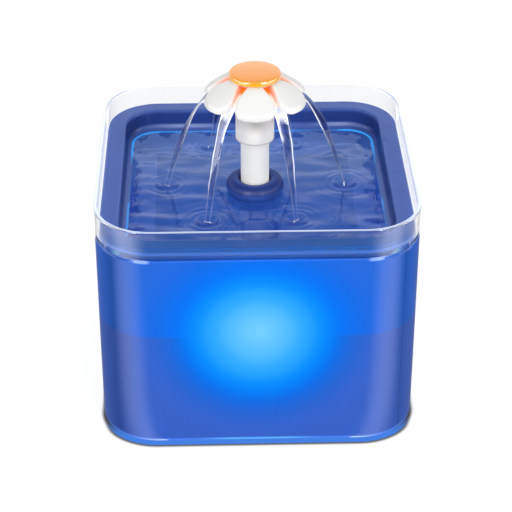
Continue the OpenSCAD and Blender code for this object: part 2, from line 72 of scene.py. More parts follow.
# %% Place the camera
view_target = Vector((0.6, 0, 66.2)) * mm
view_distance = 977.4 * mm
view_height = math.radians(31.68)
view_turn = math.radians(-1.49)
lens_mm = 121.7


def direction(turn, height):
    """The direction of a place that is turned from the front and raised by angles."""
    flat = math.cos(height)
    return Vector((flat * math.sin(turn), -flat * math.cos(turn), math.sin(height)))


def aim(thing, target):
    """Points a camera or a lamp at a target."""
    thing.rotation_euler = (target - thing.location).to_track_quat("-Z", "Y").to_euler()


camera = bpy.data.objects.new("camera", bpy.data.cameras.new("camera"))
bpy.context.collection.objects.link(camera)
camera.location = view_target + direction(view_turn, view_height) * view_distance
aim(camera, view_target)
camera.data.lens = lens_mm
camera.data.clip_end = 20
bpy.context.scene.camera = camera
bpy.context.scene.view_settings.view_transform = "Standard"
print("camera at", [round(v / mm, 1) for v in camera.location], "mm")

# %% [markdown]
# ## Building materials from nodes
#
# Every finish is a Principled shader with a few nodes before it. They could be placed by hand
# in the node editor. Here `Nodes` adds them: each of its methods adds a node, sets what is
# constant on it, links what varies and gives its output, so that a finish reads as a short list.

# %% A helper that adds nodes
class Nodes:
    """Adds nodes to one node tree. A value is a number, a colour or another node's output."""

    def __init__(self, tree):
        self.tree = tree

    def plug(self, socket, value):
        """Links the value to a socket if it is an output, or else sets it there."""
        if isinstance(value, bpy.types.NodeSocket):
            self.tree.links.new(value, socket)
        elif socket.type == "RGBA":
            socket.default_value = (*value, 1)
        else:
            socket.default_value = value

    def add(self, kind, sockets=None, **settings):
        """One shader node's outputs. sockets are its inputs by name or number."""
        node = self.tree.nodes.new("ShaderNode" + kind)
        for key, value in settings.items():
            setattr(node, key, value)
        for name, value in (sockets or {}).items():
            self.plug(node.inputs[name], value)
        return node.outputs

    def maths(self, operation, *values):
        """One Math node on one to three values."""
        return self.add("Math", dict(enumerate(values)), operation=operation)[0]

    def times(self, product, *factors):
        """All the values multiplied."""
        for factor in factors:
            product = self.maths("MULTIPLY", product, factor)
        return product

    def minus(self, first, second):
        """The first value less the second."""
        return self.maths("SUBTRACT", first, second)

    def size(self, value):
        """The value without its sign."""
        return self.maths("ABSOLUTE", value)

    def fade(self, value, start, end, low=0.0, high=1.0):
        """A smooth change from low to high as value goes from start to end."""
        limits = {"Value": value, "From Min": start, "From Max": end, "To Min": low, "To Max": high}
        return self.add("MapRange", limits, interpolation_type="SMOOTHSTEP")["Result"]

    def band(self, value, start, full, still_full, end):
        """1 from full to still_full, fading to 0 at start and at end."""
        return self.times(self.fade(value, start, full), self.fade(value, end, still_full))

    def mix(self, share, first, second):
        """A number between two others."""
        return self.add("Mix", {0: share, 2: first, 3: second})[0]

    def blend(self, share, first, second):
        """A colour between two others."""
        return self.add("Mix", {0: share, 6: first, 7: second}, data_type="RGBA")[2]

    def scale(self, colour, factor):
        """A colour made brighter or darker by a factor."""
        return self.add("VectorMath", {0: colour, "Scale": factor}, operation="SCALE")[0]

    def both(self, first, second):
        """Two colours of light added."""
        return self.add("VectorMath", {0: first, 1: second}, operation="ADD")[0]

    def length(self, x, y):
        """How long a flat vector is."""
        flat = self.add("CombineXYZ", {0: x, 1: y})[0]
        return self.add("VectorMath", {0: flat}, operation="LENGTH")["Value"]

    def ramp(self, value, stops):
        """A colour ramp through (place, colour) stops."""
        colour = self.add("ValToRGB", {"Fac": value})["Color"]
        elements = colour.node.color_ramp.elements
        while len(elements) < len(stops):
            elements.new(0.5)
        for element, (place, tone) in zip(elements, stops):
            element.position = place
            element.color = (*tone, 1)
        colour.node.color_ramp.interpolation = "CARDINAL"
        return colour


print("node helper ready")

# %% [markdown]
# ## Effects that several finishes share
#
# Moulded plastic is never one flat colour: its surface has a fine grain, and its colour and
# gloss drift a little over some centimetres. The filter's fills and the sponge are packed
# grains, and fleece is tangled fibres. Each effect is a node group, built once, that puts out a
# colour, a roughness and a height.

# %% The shared effects
def make_group(name, inputs, build):
    """A node group: build gets its nodes and inputs, and gives its three outputs."""
    group = bpy.data.node_groups.new(name, "ShaderNodeTree")
    group.interface.new_socket("Vector", in_out="INPUT", socket_type="NodeSocketVector")
    for label, default in inputs.items():
        kind = "Float" if isinstance(default, float) else "Color"
        socket = group.interface.new_socket(label, in_out="INPUT", socket_type="NodeSocket" + kind)
        socket.default_value = default
    for label, kind in (("Colour", "Color"), ("Roughness", "Float"), ("Height", "Float")):
        group.interface.new_socket(label, in_out="OUTPUT", socket_type="NodeSocket" + kind)
    nodes = Nodes(group)
    start, end = group.nodes.new("NodeGroupInput"), group.nodes.new("NodeGroupOutput")
    for socket, value in zip(end.inputs, build(nodes, start.outputs)):
        nodes.plug(socket, value)
    return group


def moulded_plastic(nodes, start):
    """Fine grain, and a slow drift of colour and gloss."""
    place = start["Vector"]
    slow = nodes.add("TexNoise", {"Vector": place, "Scale": 38.0, "Detail": 3.0})["Fac"]
    grain = nodes.add("TexNoise", {"Vector": place, "Scale": start["Grain scale"], "Detail": 2.0})["Fac"]
    swing = nodes.maths("MULTIPLY_ADD", slow, 2.0, -1.0)
    shift = nodes.maths("MULTIPLY_ADD", swing, start["Drift"], 1.0)
    fine = nodes.maths("MULTIPLY_ADD", grain, 0.03, 0.985)
    uneven = nodes.maths("MULTIPLY_ADD", swing, 0.2, 0.9)
    uneven = nodes.maths("MULTIPLY_ADD", grain, 0.2, uneven)
    tint = nodes.scale(start["Colour"], nodes.times(shift, fine))
    return tint, nodes.times(uneven, start["Roughness"]), grain


def granules(nodes, start):
    """Packed grains, each in its own shade, with painted shade in the gaps between them."""
    cells = nodes.add("TexVoronoi", {"Vector": start["Vector"], "Scale": start["Scale"]})
    shade, gloss, _ = nodes.add("SeparateColor", {"Color": cells["Color"]})
    dome = nodes.fade(cells["Distance"], 0.75, 0.1)
    # The dome's dark rim is painted shade in the gaps between grains.
    colour = nodes.blend(nodes.times(shade, dome), start["Dark"], start["Light"])
    return colour, nodes.maths("MULTIPLY_ADD", gloss, 0.3, 0.45), dome


def fibres(nodes, start):
    """Tangled fibres: two stretched noises across each other, darker where they thin out."""
    strands = []
    for stretch in ((1.0, 5.0, 1.0), (5.0, 1.0, 2.0)):
        wide = nodes.add("Mapping", {"Vector": start["Vector"], "Scale": stretch})[0]
        inputs = {"Vector": wide, "Scale": start["Scale"], "Detail": 4.0, "Distortion": 1.5}
        strands.append(nodes.fade(nodes.add("TexNoise", inputs)["Fac"], 0.35, 0.65))
    tangle = nodes.maths("MAXIMUM", *strands)
    tint = nodes.scale(start["Colour"], nodes.maths("MULTIPLY_ADD", tangle, 0.3, 0.7))
    return tint, nodes.maths("MULTIPLY_ADD", tangle, -0.1, 0.95), tangle


grey, black = (0.5, 0.5, 0.5, 1), (0.01, 0.01, 0.01, 1)
plastic_inputs = {"Colour": grey, "Roughness": 0.3, "Drift": 0.06, "Grain scale": 1500.0}
effects = {
    "plastic": make_group("moulded plastic", plastic_inputs, moulded_plastic),
    "granules": make_group("granules", {"Dark": black, "Light": grey, "Scale": 500.0}, granules),
    "fibres": make_group("fibres", {"Colour": grey, "Scale": 400.0}, fibres),
}
print("shared effects:", ", ".join(effects))

# %% [markdown]
# ## Finishes
#
# A finish is a material that takes its colour, roughness and height from one of the effects.
# What is the same all over, such as how clear or how metallic it is, is set on the shader.
# Each finish files itself under its name in `finish`, where the pieces find it later.

# %% A finish from an effect
finish = {}


class Finish(Nodes):
    """A material: its nodes, its shader's inputs and the place on the piece that the nodes read."""

    def __init__(self, name, constants):
        finish[name] = material = bpy.data.materials.new(name)
        material.use_nodes = True
        super().__init__(material.node_tree)
        self.shader = self.tree.nodes["Principled BSDF"].inputs
        for socket, value in constants.items():
            self.plug(self.shader[socket], value)
        self.place = self.add("TexCoord")["Object"]

    def xyz(self):
        """The place's three coordinates."""
        return self.add("SeparateXYZ", {0: self.place})

    def stored(self, name):
        """A value that the mesh stores."""
        return self.add("Attribute", attribute_name=name)["Fac"]

    def effect(self, name, inputs):
        """A shared effect's colour, roughness and height."""
        node = self.tree.nodes.new("ShaderNodeGroup")
        node.node_tree = effects[name]
        for socket, value in {"Vector": self.place, **inputs}.items():
            self.plug(node.inputs[socket], value)
        return node.outputs

    def surface(self, colour, roughness, height, depth, glow=None):
        """Gives the shader all that varies. The height stands out by depth metres."""
        bump = self.add("Bump", {"Height": height, "Strength": 1.0, "Distance": depth})[0]
        for socket, value in (("Base Color", colour), ("Roughness", roughness), ("Normal", bump)):
            self.plug(self.shader[socket], value)
        if glow is not None:
            self.plug(self.shader["Emission Color"], glow)

    def plastic(self, colour, roughness, drift, depth, glow=None):
        """Gives the shader the surface of moulded plastic in a colour."""
        inputs = {"Colour": colour, "Roughness": roughness, "Drift": drift}
        self.surface(*self.effect("plastic", inputs), depth, glow)


def moulded(name, colour, roughness, drift=0.04, depth=0.01 * mm, constants=None):
    """Injection-moulded plastic or rubber."""
    Finish(name, constants or {}).plastic(colour, roughness, drift, depth)


print("finish helpers ready")

# %% [markdown]
# ### Plain plastics, rubber and metal
#
# Most of these pieces are inside. They still differ: a white housing is glossier than a grey
# cover, rubber is dull, and steel is a metal, which colours what it mirrors.

# %% Plain finishes
moulded("white plastic", (0.98, 0.955, 0.91), 0.32)
# The riser's faint emission is a painted glow that brightens it.
moulded(
    "riser plastic with painted glow", (1.0, 0.98, 0.88), 0.32,
    constants={"Emission Color": (1.0, 0.95, 0.78), "Emission Strength": 0.1},
)
moulded("pump plastic", (0.09, 0.14, 0.28), 0.4)
moulded("cover plastic", (0.05, 0.08, 0.18), 0.45)
moulded("slider plastic", (0.75, 0.76, 0.78), 0.35)
moulded("foot rubber", (0.03, 0.05, 0.16), 0.75, drift=0.1)
moulded("grommet rubber", (0.015, 0.03, 0.14), 0.7, drift=0.1)
moulded("seal rubber", (0.02, 0.02, 0.022), 0.65, drift=0.1)
moulded("cup rubber", (0.35, 0.38, 0.42), 0.4, drift=0.1)
moulded("ferrite", (0.035, 0.034, 0.036), 0.5, drift=0.2, depth=0.03 * mm)
moulded("steel", (0.62, 0.62, 0.63), 0.18, constants={"Metallic": 1.0})
print("plain finishes:", len(finish))

# %% [markdown]
# ### The flower's plastics
#
# The cap is a thick button of clear orange plastic, and its side is painted yellower than its
# top, for the light that comes through it sideways. The petals are thin white plastic, and the
# orange hub's light through their side walls near the cap is painted on them as a tint. Each
# petal stores how far that goes as a value `painted_hub_glow` on its vertices. The hub has a
# painted orange glow, its arms turn from orange to a pale pink at their tips, and the white
# sleeve under the flower has a faint painted glow, a painted shadow of the petals and a darker
# lower edge.

# %% Finishes of the cap, the petals, the hub and the sleeve
def orange_plastic():
    """Orange on top, painted yellower on the side for the light through it, with a sharp gloss for the
    glints.
    """
    coat = {"Coat Weight": 1.0, "Coat Roughness": 0.06, "Coat IOR": 1.7}
    made = Finish("orange plastic", {"IOR": 1.5, "Specular IOR Level": 0.7, **coat})
    cap_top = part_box("flower_cap")[1].z
    # The side's yellower colour is painted, for the light that comes through the cap sideways.
    side = made.fade(made.xyz()[2], cap_top - 0.7 * mm, cap_top - 1.2 * mm)
    colour = made.blend(side, (1.0, 0.35, 0.025), (1.0, 0.44, 0.008))
    made.plastic(colour, roughness=0.12, drift=0.02, depth=0.003 * mm)


def petal_plastic():
    """Satin white with the hub's light painted on as an orange tint, by the value stored on the mesh."""
    made = Finish("petal plastic", {"IOR": 1.5})
    # The hub's light through the petal's walls is painted on as an orange tint.
    colour = made.blend(made.stored("painted_hub_glow"), (0.75, 0.75, 0.74), (1.0, 0.50, 0.34))
    made.plastic(colour, roughness=0.5, drift=0.01, depth=0.005 * mm)


def hub_plastic():
    """Orange with a painted glow near the cap, for the light through the cap, and paler outwards."""
    made = Finish("hub plastic", {"IOR": 1.5, "Emission Strength": 0.55})
    x, y, _ = made.xyz()
    out = made.fade(made.length(x, y), 12.4 * mm, 15.8 * mm)
    colour = made.blend(out, (0.95, 0.20, 0.01), (0.86, 0.72, 0.64))
    # The hub's emission is a painted glow, for the light that comes through the cap.
    glow = made.blend(out, (1.0, 0.20, 0.015), (0.5, 0.42, 0.38))
    made.plastic(colour, roughness=0.35, drift=0.02, depth=0.005 * mm, glow=glow)


def sleeve_plastic():
    """White plastic with a faint painted glow, a painted shadow where the petals keep the light off it, and
    darker round its lower edge.
    """
    # The warm emission is a faint painted glow that brightens the sleeve.
    glow = {"Emission Color": (1.0, 0.93, 0.82), "Emission Strength": 0.09}
    made = Finish("sleeve plastic", {"IOR": 1.5, "Sheen Weight": 0.3, **glow})
    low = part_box("flower_sleeve")[0].z
    x, _, z = made.xyz()
    # Painted shadow of the front petal over the upper sleeve, and a darker lower edge.
    under_petal = made.fade(made.size(x), 0.0, 7 * mm, 0.42, 0.72)
    upper = made.mix(made.fade(z, low + 5 * mm, low + 14 * mm), 1.0, under_petal)
    shade = made.maths("MINIMUM", upper, made.fade(z, low, low + 1.4 * mm, 0.6, 1.0))
    white = {"Colour": (0.93, 0.89, 0.81), "Roughness": 0.34, "Drift": 0.02}
    tint, rough, height = made.effect("plastic", white)
    made.surface(made.scale(tint, shade), rough, height, 0.005 * mm)


orange_plastic()
petal_plastic()
hub_plastic()
sleeve_plastic()
print("with the flower's:", len(finish))

# %% [markdown]
# ### Grains, beads and fleece
#
# The filter holds activated carbon and resin beads between two fleece pads, and a foam sponge
# sits in the pump's inlet. Grains could be modelled one by one, but there would be thousands.
# Cells of a Voronoi texture give each grain its own shade, painted shade darkens the gaps, and a bump makes
# it round.

# %% Filter fills
def filled(name, effect, inputs, depth, constants=None):
    """Grains or fibres that stand out by depth."""
    made = Finish(name, constants or {})
    made.surface(*made.effect(effect, inputs), depth)


def grainy(name, dark, light, scale, depth):
    """Packed grains between a dark and a light colour, scale of them to a metre."""
    filled(name, "granules", {"Dark": dark, "Light": light, "Scale": scale}, depth)


grainy("carbon grains", (0.003, 0.003, 0.004), (0.08, 0.08, 0.085), 620, 0.5 * mm)
grainy("resin beads", (0.20, 0.07, 0.01), (0.78, 0.42, 0.08), 950, 0.4 * mm)
grainy("sponge", (0.006, 0.007, 0.008), (0.10, 0.11, 0.12), 800, 0.4 * mm)
fleece = {"Colour": (0.86, 0.86, 0.83), "Scale": 700.0}
filled("fleece", "fibres", fleece, 0.15 * mm, {"Sheen Weight": 0.3})
print("with the fills:", len(finish))

# %% [markdown]
# ### Windings, laminations and the driver board
#
# The coils and the steel core are built up along the pump, wire beside wire and sheet beside
# sheet. Bands across that direction show it, with painted shade in the grooves between them,
# finely enough that no wire needs modelling.

# %% Banded metals
def banded(name, colour, roughness, pitch, depth):
    """A metal built up of wires or sheets along Y, one to each pitch."""
    made = Finish(name, {"Metallic": 1.0})
    wave_scale = 2 * math.pi / (20 * pitch)
    inputs = {"Vector": made.place, "Scale": wave_scale, "Distortion": 0.3}
    bands = made.add("TexWave", inputs, bands_direction="Y")["Fac"]
    tint, rough, _ = made.effect("plastic", {"Colour": colour, "Roughness": roughness})
    # The bands' dark part is painted shade in the grooves between wires or sheets.
    made.surface(made.scale(tint, made.fade(bands, 0.0, 0.5, 0.35, 1.0)), rough, bands, depth)


banded("copper", (0.80, 0.36, 0.14), 0.3, 0.35 * mm, 0.08 * mm)
banded("laminations", (0.42, 0.42, 0.43), 0.4, 0.5 * mm, 0.04 * mm)
print("with the banded metals:", len(finish))

# %% The driver board and the lamps on it
def circuit_board():
    """Green solder mask over a net of copper tracks."""
    made = Finish("circuit board", {"IOR": 1.5})
    inputs = {"Vector": made.place, "Scale": 260.0, "Randomness": 0.6}
    to_edge = made.add("TexVoronoi", inputs, feature="DISTANCE_TO_EDGE")["Distance"]
    track = made.fade(to_edge, 0.14, 0.08)
    mask = made.blend(track, (0.006, 0.07, 0.02), (0.03, 0.20, 0.07))
    rough = made.effect("plastic", {"Roughness": 0.35})["Roughness"]
    made.surface(mask, rough, track, 0.04 * mm)


circuit_board()
lamp_glow = {"Emission Color": (0.25, 0.65, 1.0), "Emission Strength": 1.5}
moulded("lamp", (0.8, 0.9, 1.0), 0.3, constants=lamp_glow)
print("with the board and lamps:", len(finish))

# %% [markdown]
# ### Clear plastic and water
#
# Both are glass to a renderer: all light goes in, bends and comes out. Plastic and water differ
# in how much they bend light and in a slight tint.

# %% Clear finishes
def clear(ior, level):
    """The constants of a see-through finish. level is its mirroring, 0.5 being the index's own."""
    return {"Transmission Weight": 1.0, "IOR": ior, "Specular IOR Level": level}


water_ior = 1.333
water_surface = {"roughness": 0.01, "drift": 0.005, "depth": 0.001 * mm}
lens_surface = {"roughness": 0.12, "drift": 0.005, "depth": 0.01 * mm}
moulded("lens plastic", (0.85, 0.95, 1.0), **lens_surface, constants=clear(1.49, 0.5))
moulded("water", (0.88, 0.95, 1.0), **water_surface, constants=clear(water_ior, 0.75))
print("with the clear finishes:", len(finish))

# %% [markdown]
# The collar is polished, so its gloss hardly varies. Its mirroring is turned down a little,
# because thin moulded plastic mirrors less than a thick pane. Its cut top edge is frosted and has
# a painted pale glow, so it shows as a pale line. Its foot has a painted glow of the lit tank's
# blue, and where a wall is seen edge-on, at the object's outline, a painted white glow makes it
# look milky, as the long way through the plastic would.
#
# The tray's water is painted bluer in some places, as painted reflection, by a value
# `deep` on its vertices. A stream is water too, but its thick round rims carry
# a painted gleam as they leave the flower, and the film between them is painted blue for the tray
# seen through it. The tops of the two front streams are painted white with the glow. Each stream
# stores both as values on its vertices, `gleam` and `film`.

# %% Finishes of the collar and the moving water
def collar_plastic():
    """Polished clear plastic, frosted on top, with painted glows on its top edge, outline and foot."""
    made = Finish("clear plastic", {**clear(1.46, 0.3), "Emission Strength": 1.0})
    edge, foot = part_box("splash_collar")[1].z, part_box("tank")[1].z
    x, _, z = made.xyz()
    start = made.fade(made.size(x), 74 * mm, 80 * mm, edge - 0.5 * mm, edge - 1.4 * mm)
    # The frosted top edge is rougher and has a painted pale glow.
    frost_and_painted_glow = made.fade(z, start, edge - 0.1 * mm)
    polished = {"Colour": (0.985, 0.993, 1), "Roughness": 0.015, "Drift": 0.005}
    colour, rough, height = made.effect("plastic", polished)
    rise = made.minus(z, foot)
    low = made.band(rise, -0.2 * mm, 0, 5 * mm, 6 * mm)
    # Painted glows: the lit tank's blue on the foot and a white haze where a wall is seen edge-on.
    blue = made.blend(made.fade(rise, 1.2 * mm, 2 * mm), (0.002, 0.032, 0.13), (0.024, 0.036, 0.060))
    edge_on = made.add("LayerWeight", {"Blend": 0.5})["Facing"]
    painted_milky_glow = made.fade(edge_on, 0.80, 0.88, 0.0, 0.9)
    glow = made.blend(painted_milky_glow, made.scale(blue, low), (0.66, 0.65, 0.60))
    made.surface(
        made.blend(painted_milky_glow, colour, (0.15, 0.15, 0.14)), made.maths("MULTIPLY_ADD", frost_and_painted_glow, 0.4, rough),
        height, 0.001 * mm, made.blend(frost_and_painted_glow, glow, (0.56, 0.60, 0.70)),
    )


def pool_water():
    """Clear water with a painted dark reflection: bluer by the value stored on the mesh."""
    made = Finish("pool water", clear(water_ior, 0.75))
    # The stored value is a painted dark reflection.
    colour = made.blend(made.stored("deep"), (0.88, 0.95, 1), (0.13, 0.30, 0.66))
    made.plastic(colour, **water_surface)


def stream_water():
    """Clear water with a painted gleam and painted blue, by the values stored on the mesh."""
    made = Finish("stream water", {**clear(water_ior, 0.35), "Emission Strength": 1.0})
    colour = made.blend(made.stored("film"), (0.93, 0.97, 1), (0.10, 0.19, 0.48))
    # The gleam is a painted highlight, and the film's blue is painted for the tray seen through it.
    glow = made.scale((0.69, 0.68, 0.68), made.stored("gleam"))
    made.plastic(colour, **water_surface, glow=glow)


collar_plastic()
pool_water()
stream_water()
print("with the collar, the pool and the streams:", len(finish))

# %% [markdown]
# ## Sizes that the frame gives
#
# The CAD boxes of the tank, the tray and the flower give the sizes of everything added here, so
# a piece stays in its place if the frame changes.

# %% Sizes from the frame
tank_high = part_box("tank")[1]
tray_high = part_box("drinking_tray")[1]
cap_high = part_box("flower_cap")[1]

corner_at = tank_high.x - 30.4 * mm
basin_half = tray_high.x - 13.9 * mm
water_level = tray_high.z - 12.5 * mm
basin_floor = tray_high.z - 29.0 * mm
tank_water_level = 70 * mm
lamp_height = 73 * mm
cap_z = cap_high.z - 3.2 * mm


def outward_by(nodes, x, y):
    """Distance from the middle to the rounded square through a place: all walls share its corners."""
    over_x = nodes.maths("MAXIMUM", nodes.minus(nodes.size(x), corner_at), 0.0)
    over_y = nodes.maths("MAXIMUM", nodes.minus(nodes.size(y), corner_at), 0.0)
    return nodes.maths("ADD", nodes.length(over_x, over_y), corner_at)


print("basin", round(basin_half / mm, 2), "mm to each side, water at", round(water_level / mm, 2), "mm")

# %% [markdown]
# ### The lit tank
#
# The tank is cloudy blue plastic with a lamp behind its front wall. Light scattered in a wall
# could be traced, but that is slow and grainy. A painted glow on the wall, strongest where the
# lamp is nearest, looks the same: pale blue over the lamp, then clear blue, then darker blue. The
# glow is weaker on the sides and the back, and below the water line the tank is darker. The foot
# has a painted glow of the lamp's light too, and two painted glints sit on the front of the top
# edge. The base colour holds the unlit plastic's colour, so that it answers to any light, but it
# has painted light and shade too: it is a little paler far from the lamp, and darker at the
# corners, where the plastic is thicker, and more so on the left as painted shade. A thin darker
# line runs down the right-hand corners.

# %% Parts of the tank's finish
def tank_base_and_painted_shade(made, x, width, depth, wet, from_lamp):
    """Base colour with painted light and shade: paler far from the lamp, darker at the thick
    corners and more on the left, and a darker line down the right-hand corners.
    """
    # Painted light: the plastic is a little paler far from the lamp.
    far = made.fade(from_lamp, 38 * mm, 68 * mm)
    colour = made.blend(far, (0.001, 0.07, 0.32), (0.014, 0.085, 0.37))
    colour = made.blend(made.times(wet, far), colour, (0.036, 0.088, 0.36))
    # A thin darker line runs down the right-hand corners.
    right_corner_line = made.fade(made.size(made.minus(width, depth)), 0.6 * mm, 0.3 * mm, 0.0, 0.2)
    right_corner_line = made.times(right_corner_line, made.fade(x, 0, 10 * mm))
    # Painted shade: darker at the corners, where the plastic is thicker, and more so on the left.
    thick = made.fade(made.maths("MINIMUM", width, depth), 60 * mm, 75 * mm)
    thick = made.times(thick, made.fade(x, 10 * mm, -10 * mm, 0.14, 0.36))
    return made.scale(colour, made.minus(made.minus(1.0, thick), right_corner_line))


def tank_foot(made, x, y, z, across):
    """How far a place is on the foot's painted glow, and that glow's colour, palest in the middle."""
    at_foot = made.fade(outward_by(made, x, y), 80 * mm, 82 * mm)
    middle = made.fade(across, 36 * mm, 12 * mm)
    colour = made.blend(middle, (0.05, 0.16, 0.62), (0.10, 0.42, 0.85))
    return made.times(made.fade(z, 4.2 * mm, 2.4 * mm), at_foot), colour


def tank_brink(made, y, z, width):
    """Two painted glints on the front of the tank's top edge."""
    glint = made.times(made.band(width, 55 * mm, 58 * mm, 62 * mm, 65 * mm), made.fade(y, -74 * mm, -78 * mm))
    glint = made.blend(glint, (0.0, 0.0, 0.0), (0.26, 0.32, 0.38))
    return made.scale(glint, made.fade(z, tank_high.z - 1.5 * mm, tank_high.z - 0.7 * mm))


print("parts of the tank's finish ready")

# %% The tank's finish
glow_reach = 77 * mm
glow_stops = [
    (0.00, (0.180, 0.560, 0.66)),
    (0.24, (0.062, 0.390, 0.65)),
    (0.38, (0.010, 0.250, 0.64)),
    (0.52, (0.000, 0.125, 0.60)),
    (0.67, (0.000, 0.070, 0.44)),
    (0.90, (0.006, 0.050, 0.30)),
]


def tank_plastic():
    """Cloudy blue plastic with a painted glow round the lamp, darker below the water line."""
    made = Finish("lit tank plastic", {"IOR": 1.45, "Specular IOR Level": 0.2, "Emission Strength": 1.0})
    x, y, z = made.xyz()
    width, depth = made.size(x), made.size(y)
    across, outward = made.maths("MINIMUM", width, depth), made.maths("MAXIMUM", width, depth)
    up = made.minus(z, lamp_height - 0.5 * mm)
    up = made.times(up, made.fade(up, -3 * mm, 3 * mm, 0.97, 1.1))
    from_lamp = made.length(across, up)
    wet = made.fade(z, tank_water_level, tank_water_level - 1 * mm)

    murk = made.times(wet, made.fade(from_lamp, 28 * mm, 58 * mm))
    strength = made.times(
        made.fade(y, -78 * mm, -58 * mm, 1.0, 0.45), made.fade(outward, 74 * mm, 80 * mm, 0.5, 1.0),
        made.fade(across, 60 * mm, 78 * mm, 1.0, 0.6), made.fade(murk, 0.0, 1.0, 1.0, 0.6),
    )
    glow = made.ramp(made.maths("DIVIDE", from_lamp, glow_reach), glow_stops)
    foot, foot_colour = tank_foot(made, x, y, z, across)
    lit = made.blend(foot, made.scale(glow, strength), foot_colour)
    lit = made.both(lit, tank_brink(made, y, z, width))
    colour = tank_base_and_painted_shade(made, x, width, depth, wet, from_lamp)
    made.plastic(colour, roughness=0.12, drift=0.03, depth=0.002 * mm, glow=lit)


tank_plastic()
print("with the tank's:", len(finish))

# %% [markdown]
# ### The tray
#
# The tray is satin blue plastic, with painted shade on its upright walls, most on the side walls,
# and round the neck, where less of the room's light gets in, and its front rim is painted a deeper
# blue for the lamp's light below it. A little of the lamp's light leaks past it along the water's
# edge as a thin cyan line, which comes and goes and breaks off at the sides. The back of the ledge
# catches the room as two soft pale streaks. The line, the streaks and the soft light through
# the basin are painted as weak glows by place.

# %% Parts of the tray's finish
def tray_colour_and_painted_shade(made, y, z, outward, beside, neck):
    """The tray's blue with painted light and shade: deeper on the front rim, walls and neck's shoulder."""
    # Painted light: the front rim is a deeper blue for the lamp's light below it.
    front = made.fade(y, -62 * mm, -74 * mm)
    colour = made.blend(front, (0.055, 0.112, 0.40), (0.0, 0.08, 0.37))
    below_rim = made.minus(tray_high.z, z)
    # Painted shade on the neck's shoulder, lighter above and below it.
    shoulder = made.band(below_rim, 3.9 * mm, 5.0 * mm, 7.6 * mm, 9.4 * mm)
    colour = made.blend(neck, colour, made.blend(shoulder, (0.030, 0.085, 0.34), (0.006, 0.028, 0.19)))
    # Painted shade on the upright walls, darker on the side walls.
    wall_low = made.fade(beside, 0.0, 1.0, water_level + 3 * mm, water_level + 0.4 * mm)
    upright = made.times(
        made.fade(made.minus(z, wall_low), 0.0, 1.6 * mm), made.fade(below_rim, 1 * mm, 3 * mm),
        made.fade(outward, basin_half + 5.5 * mm, basin_half + 4.5 * mm), made.minus(1.0, neck),
    )
    return made.blend(upright, colour, made.blend(beside, (0.024, 0.058, 0.27), (0.014, 0.036, 0.20)))


def tray_leak(made, x, y, z, past_basin, beside):
    """The cyan line at the water's edge: patchy, bright in the back corners, broken at the sides."""
    edge = made.band(past_basin, -1 * mm, -0.2 * mm, 0.8 * mm, 1.5 * mm)
    above = made.fade(z, water_level - 0.3 * mm, water_level)
    patches = made.add("TexNoise", {"Vector": made.place, "Scale": 24.0, "Detail": 1.0})["Fac"]
    back_corner = made.times(made.fade(y, 30 * mm, 45 * mm), made.fade(made.size(x), 44 * mm, 56 * mm), 1.5)
    patchy = made.maths("MAXIMUM", made.fade(patches, 0.35, 0.65, 0.25, 1.0), back_corner)
    broken = made.times(made.fade(made.size(made.minus(y, 8 * mm)), 26 * mm, 16 * mm), beside)
    weaker = made.times(made.fade(beside, 0.0, 1.0, 1.0, 0.7), made.fade(broken, 0.0, 1.0, 1.0, 0.2))
    return made.scale((0.008, 0.25, 0.62), made.times(edge, above, patchy, weaker))


def tray_ledge(made, x, y, z, past_basin):
    """Two soft pale streaks of painted highlight on the back of the ledge."""
    ledge = made.times(
        made.band(past_basin, 2.8 * mm, 3.6 * mm, 4.3 * mm, 4.9 * mm),
        made.fade(z, water_level + 4 * mm, water_level + 3 * mm), made.fade(y, 40 * mm, 60 * mm),
    )
    left = made.band(x, -66 * mm, -37 * mm, -37 * mm, -8 * mm)
    right = made.band(x, 32 * mm, 50 * mm, 50 * mm, 68 * mm)
    return made.scale((0.15, 0.17, 0.19), made.times(ledge, made.maths("MAXIMUM", left, right)))


def tray_soft_light(made, y, z, outward, past_basin, neck):
    """Light through the basin under the water, palest at the back, and on the outer skirt."""
    wall = made.fade(z, basin_floor + 1 * mm, basin_floor + 6 * mm)
    soft = made.blend(wall, (0.002, 0.030, 0.13), (0.012, 0.035, 0.14))
    soft = made.blend(made.fade(y, 5 * mm, 45 * mm), soft, (0.065, 0.10, 0.16))
    under = made.fade(z, water_level - 0.3 * mm, water_level - 1 * mm)
    inside = made.times(made.fade(past_basin, 1.5 * mm, 1 * mm), made.fade(neck, 0.0, 1.0, 1.0, 0.8))
    soft = made.scale(soft, made.times(under, inside))
    skirt = made.times(
        made.fade(outward, tray_high.x - 4 * mm, tray_high.x - 2 * mm),
        made.fade(z, tray_high.z - 1.8 * mm, tray_high.z - 2.4 * mm),
    )
    return made.blend(skirt, soft, (0.003, 0.03, 0.14))


print("parts of the tray's finish ready")

# %% The tray's finish
def tray_plastic():
    """Satin blue plastic with painted light from below and the lamp's painted leak at the water's edge."""
    made = Finish("tray plastic", {"IOR": 1.46, "Specular IOR Level": 0.3, "Emission Strength": 1.0})
    x, y, z = made.xyz()
    outward = outward_by(made, x, y)
    past_basin = made.minus(outward, basin_half)
    beside = made.fade(made.minus(made.size(x), made.size(y)), -8 * mm, 8 * mm)
    neck = made.fade(outward, corner_at + 0.5 * mm, corner_at)
    soft = tray_soft_light(made, y, z, outward, past_basin, neck)
    light = made.both(soft, tray_ledge(made, x, y, z, past_basin))
    light = made.both(tray_leak(made, x, y, z, past_basin, beside), light)
    colour = tray_colour_and_painted_shade(made, y, z, outward, beside, neck)
    duller_neck = made.fade(neck, 0.0, 1.0, 0.3, 0.45)
    made.plastic(colour, roughness=duller_neck, drift=0.05, depth=0.01 * mm, glow=light)


tray_plastic()
print("with the tray's:", len(finish))

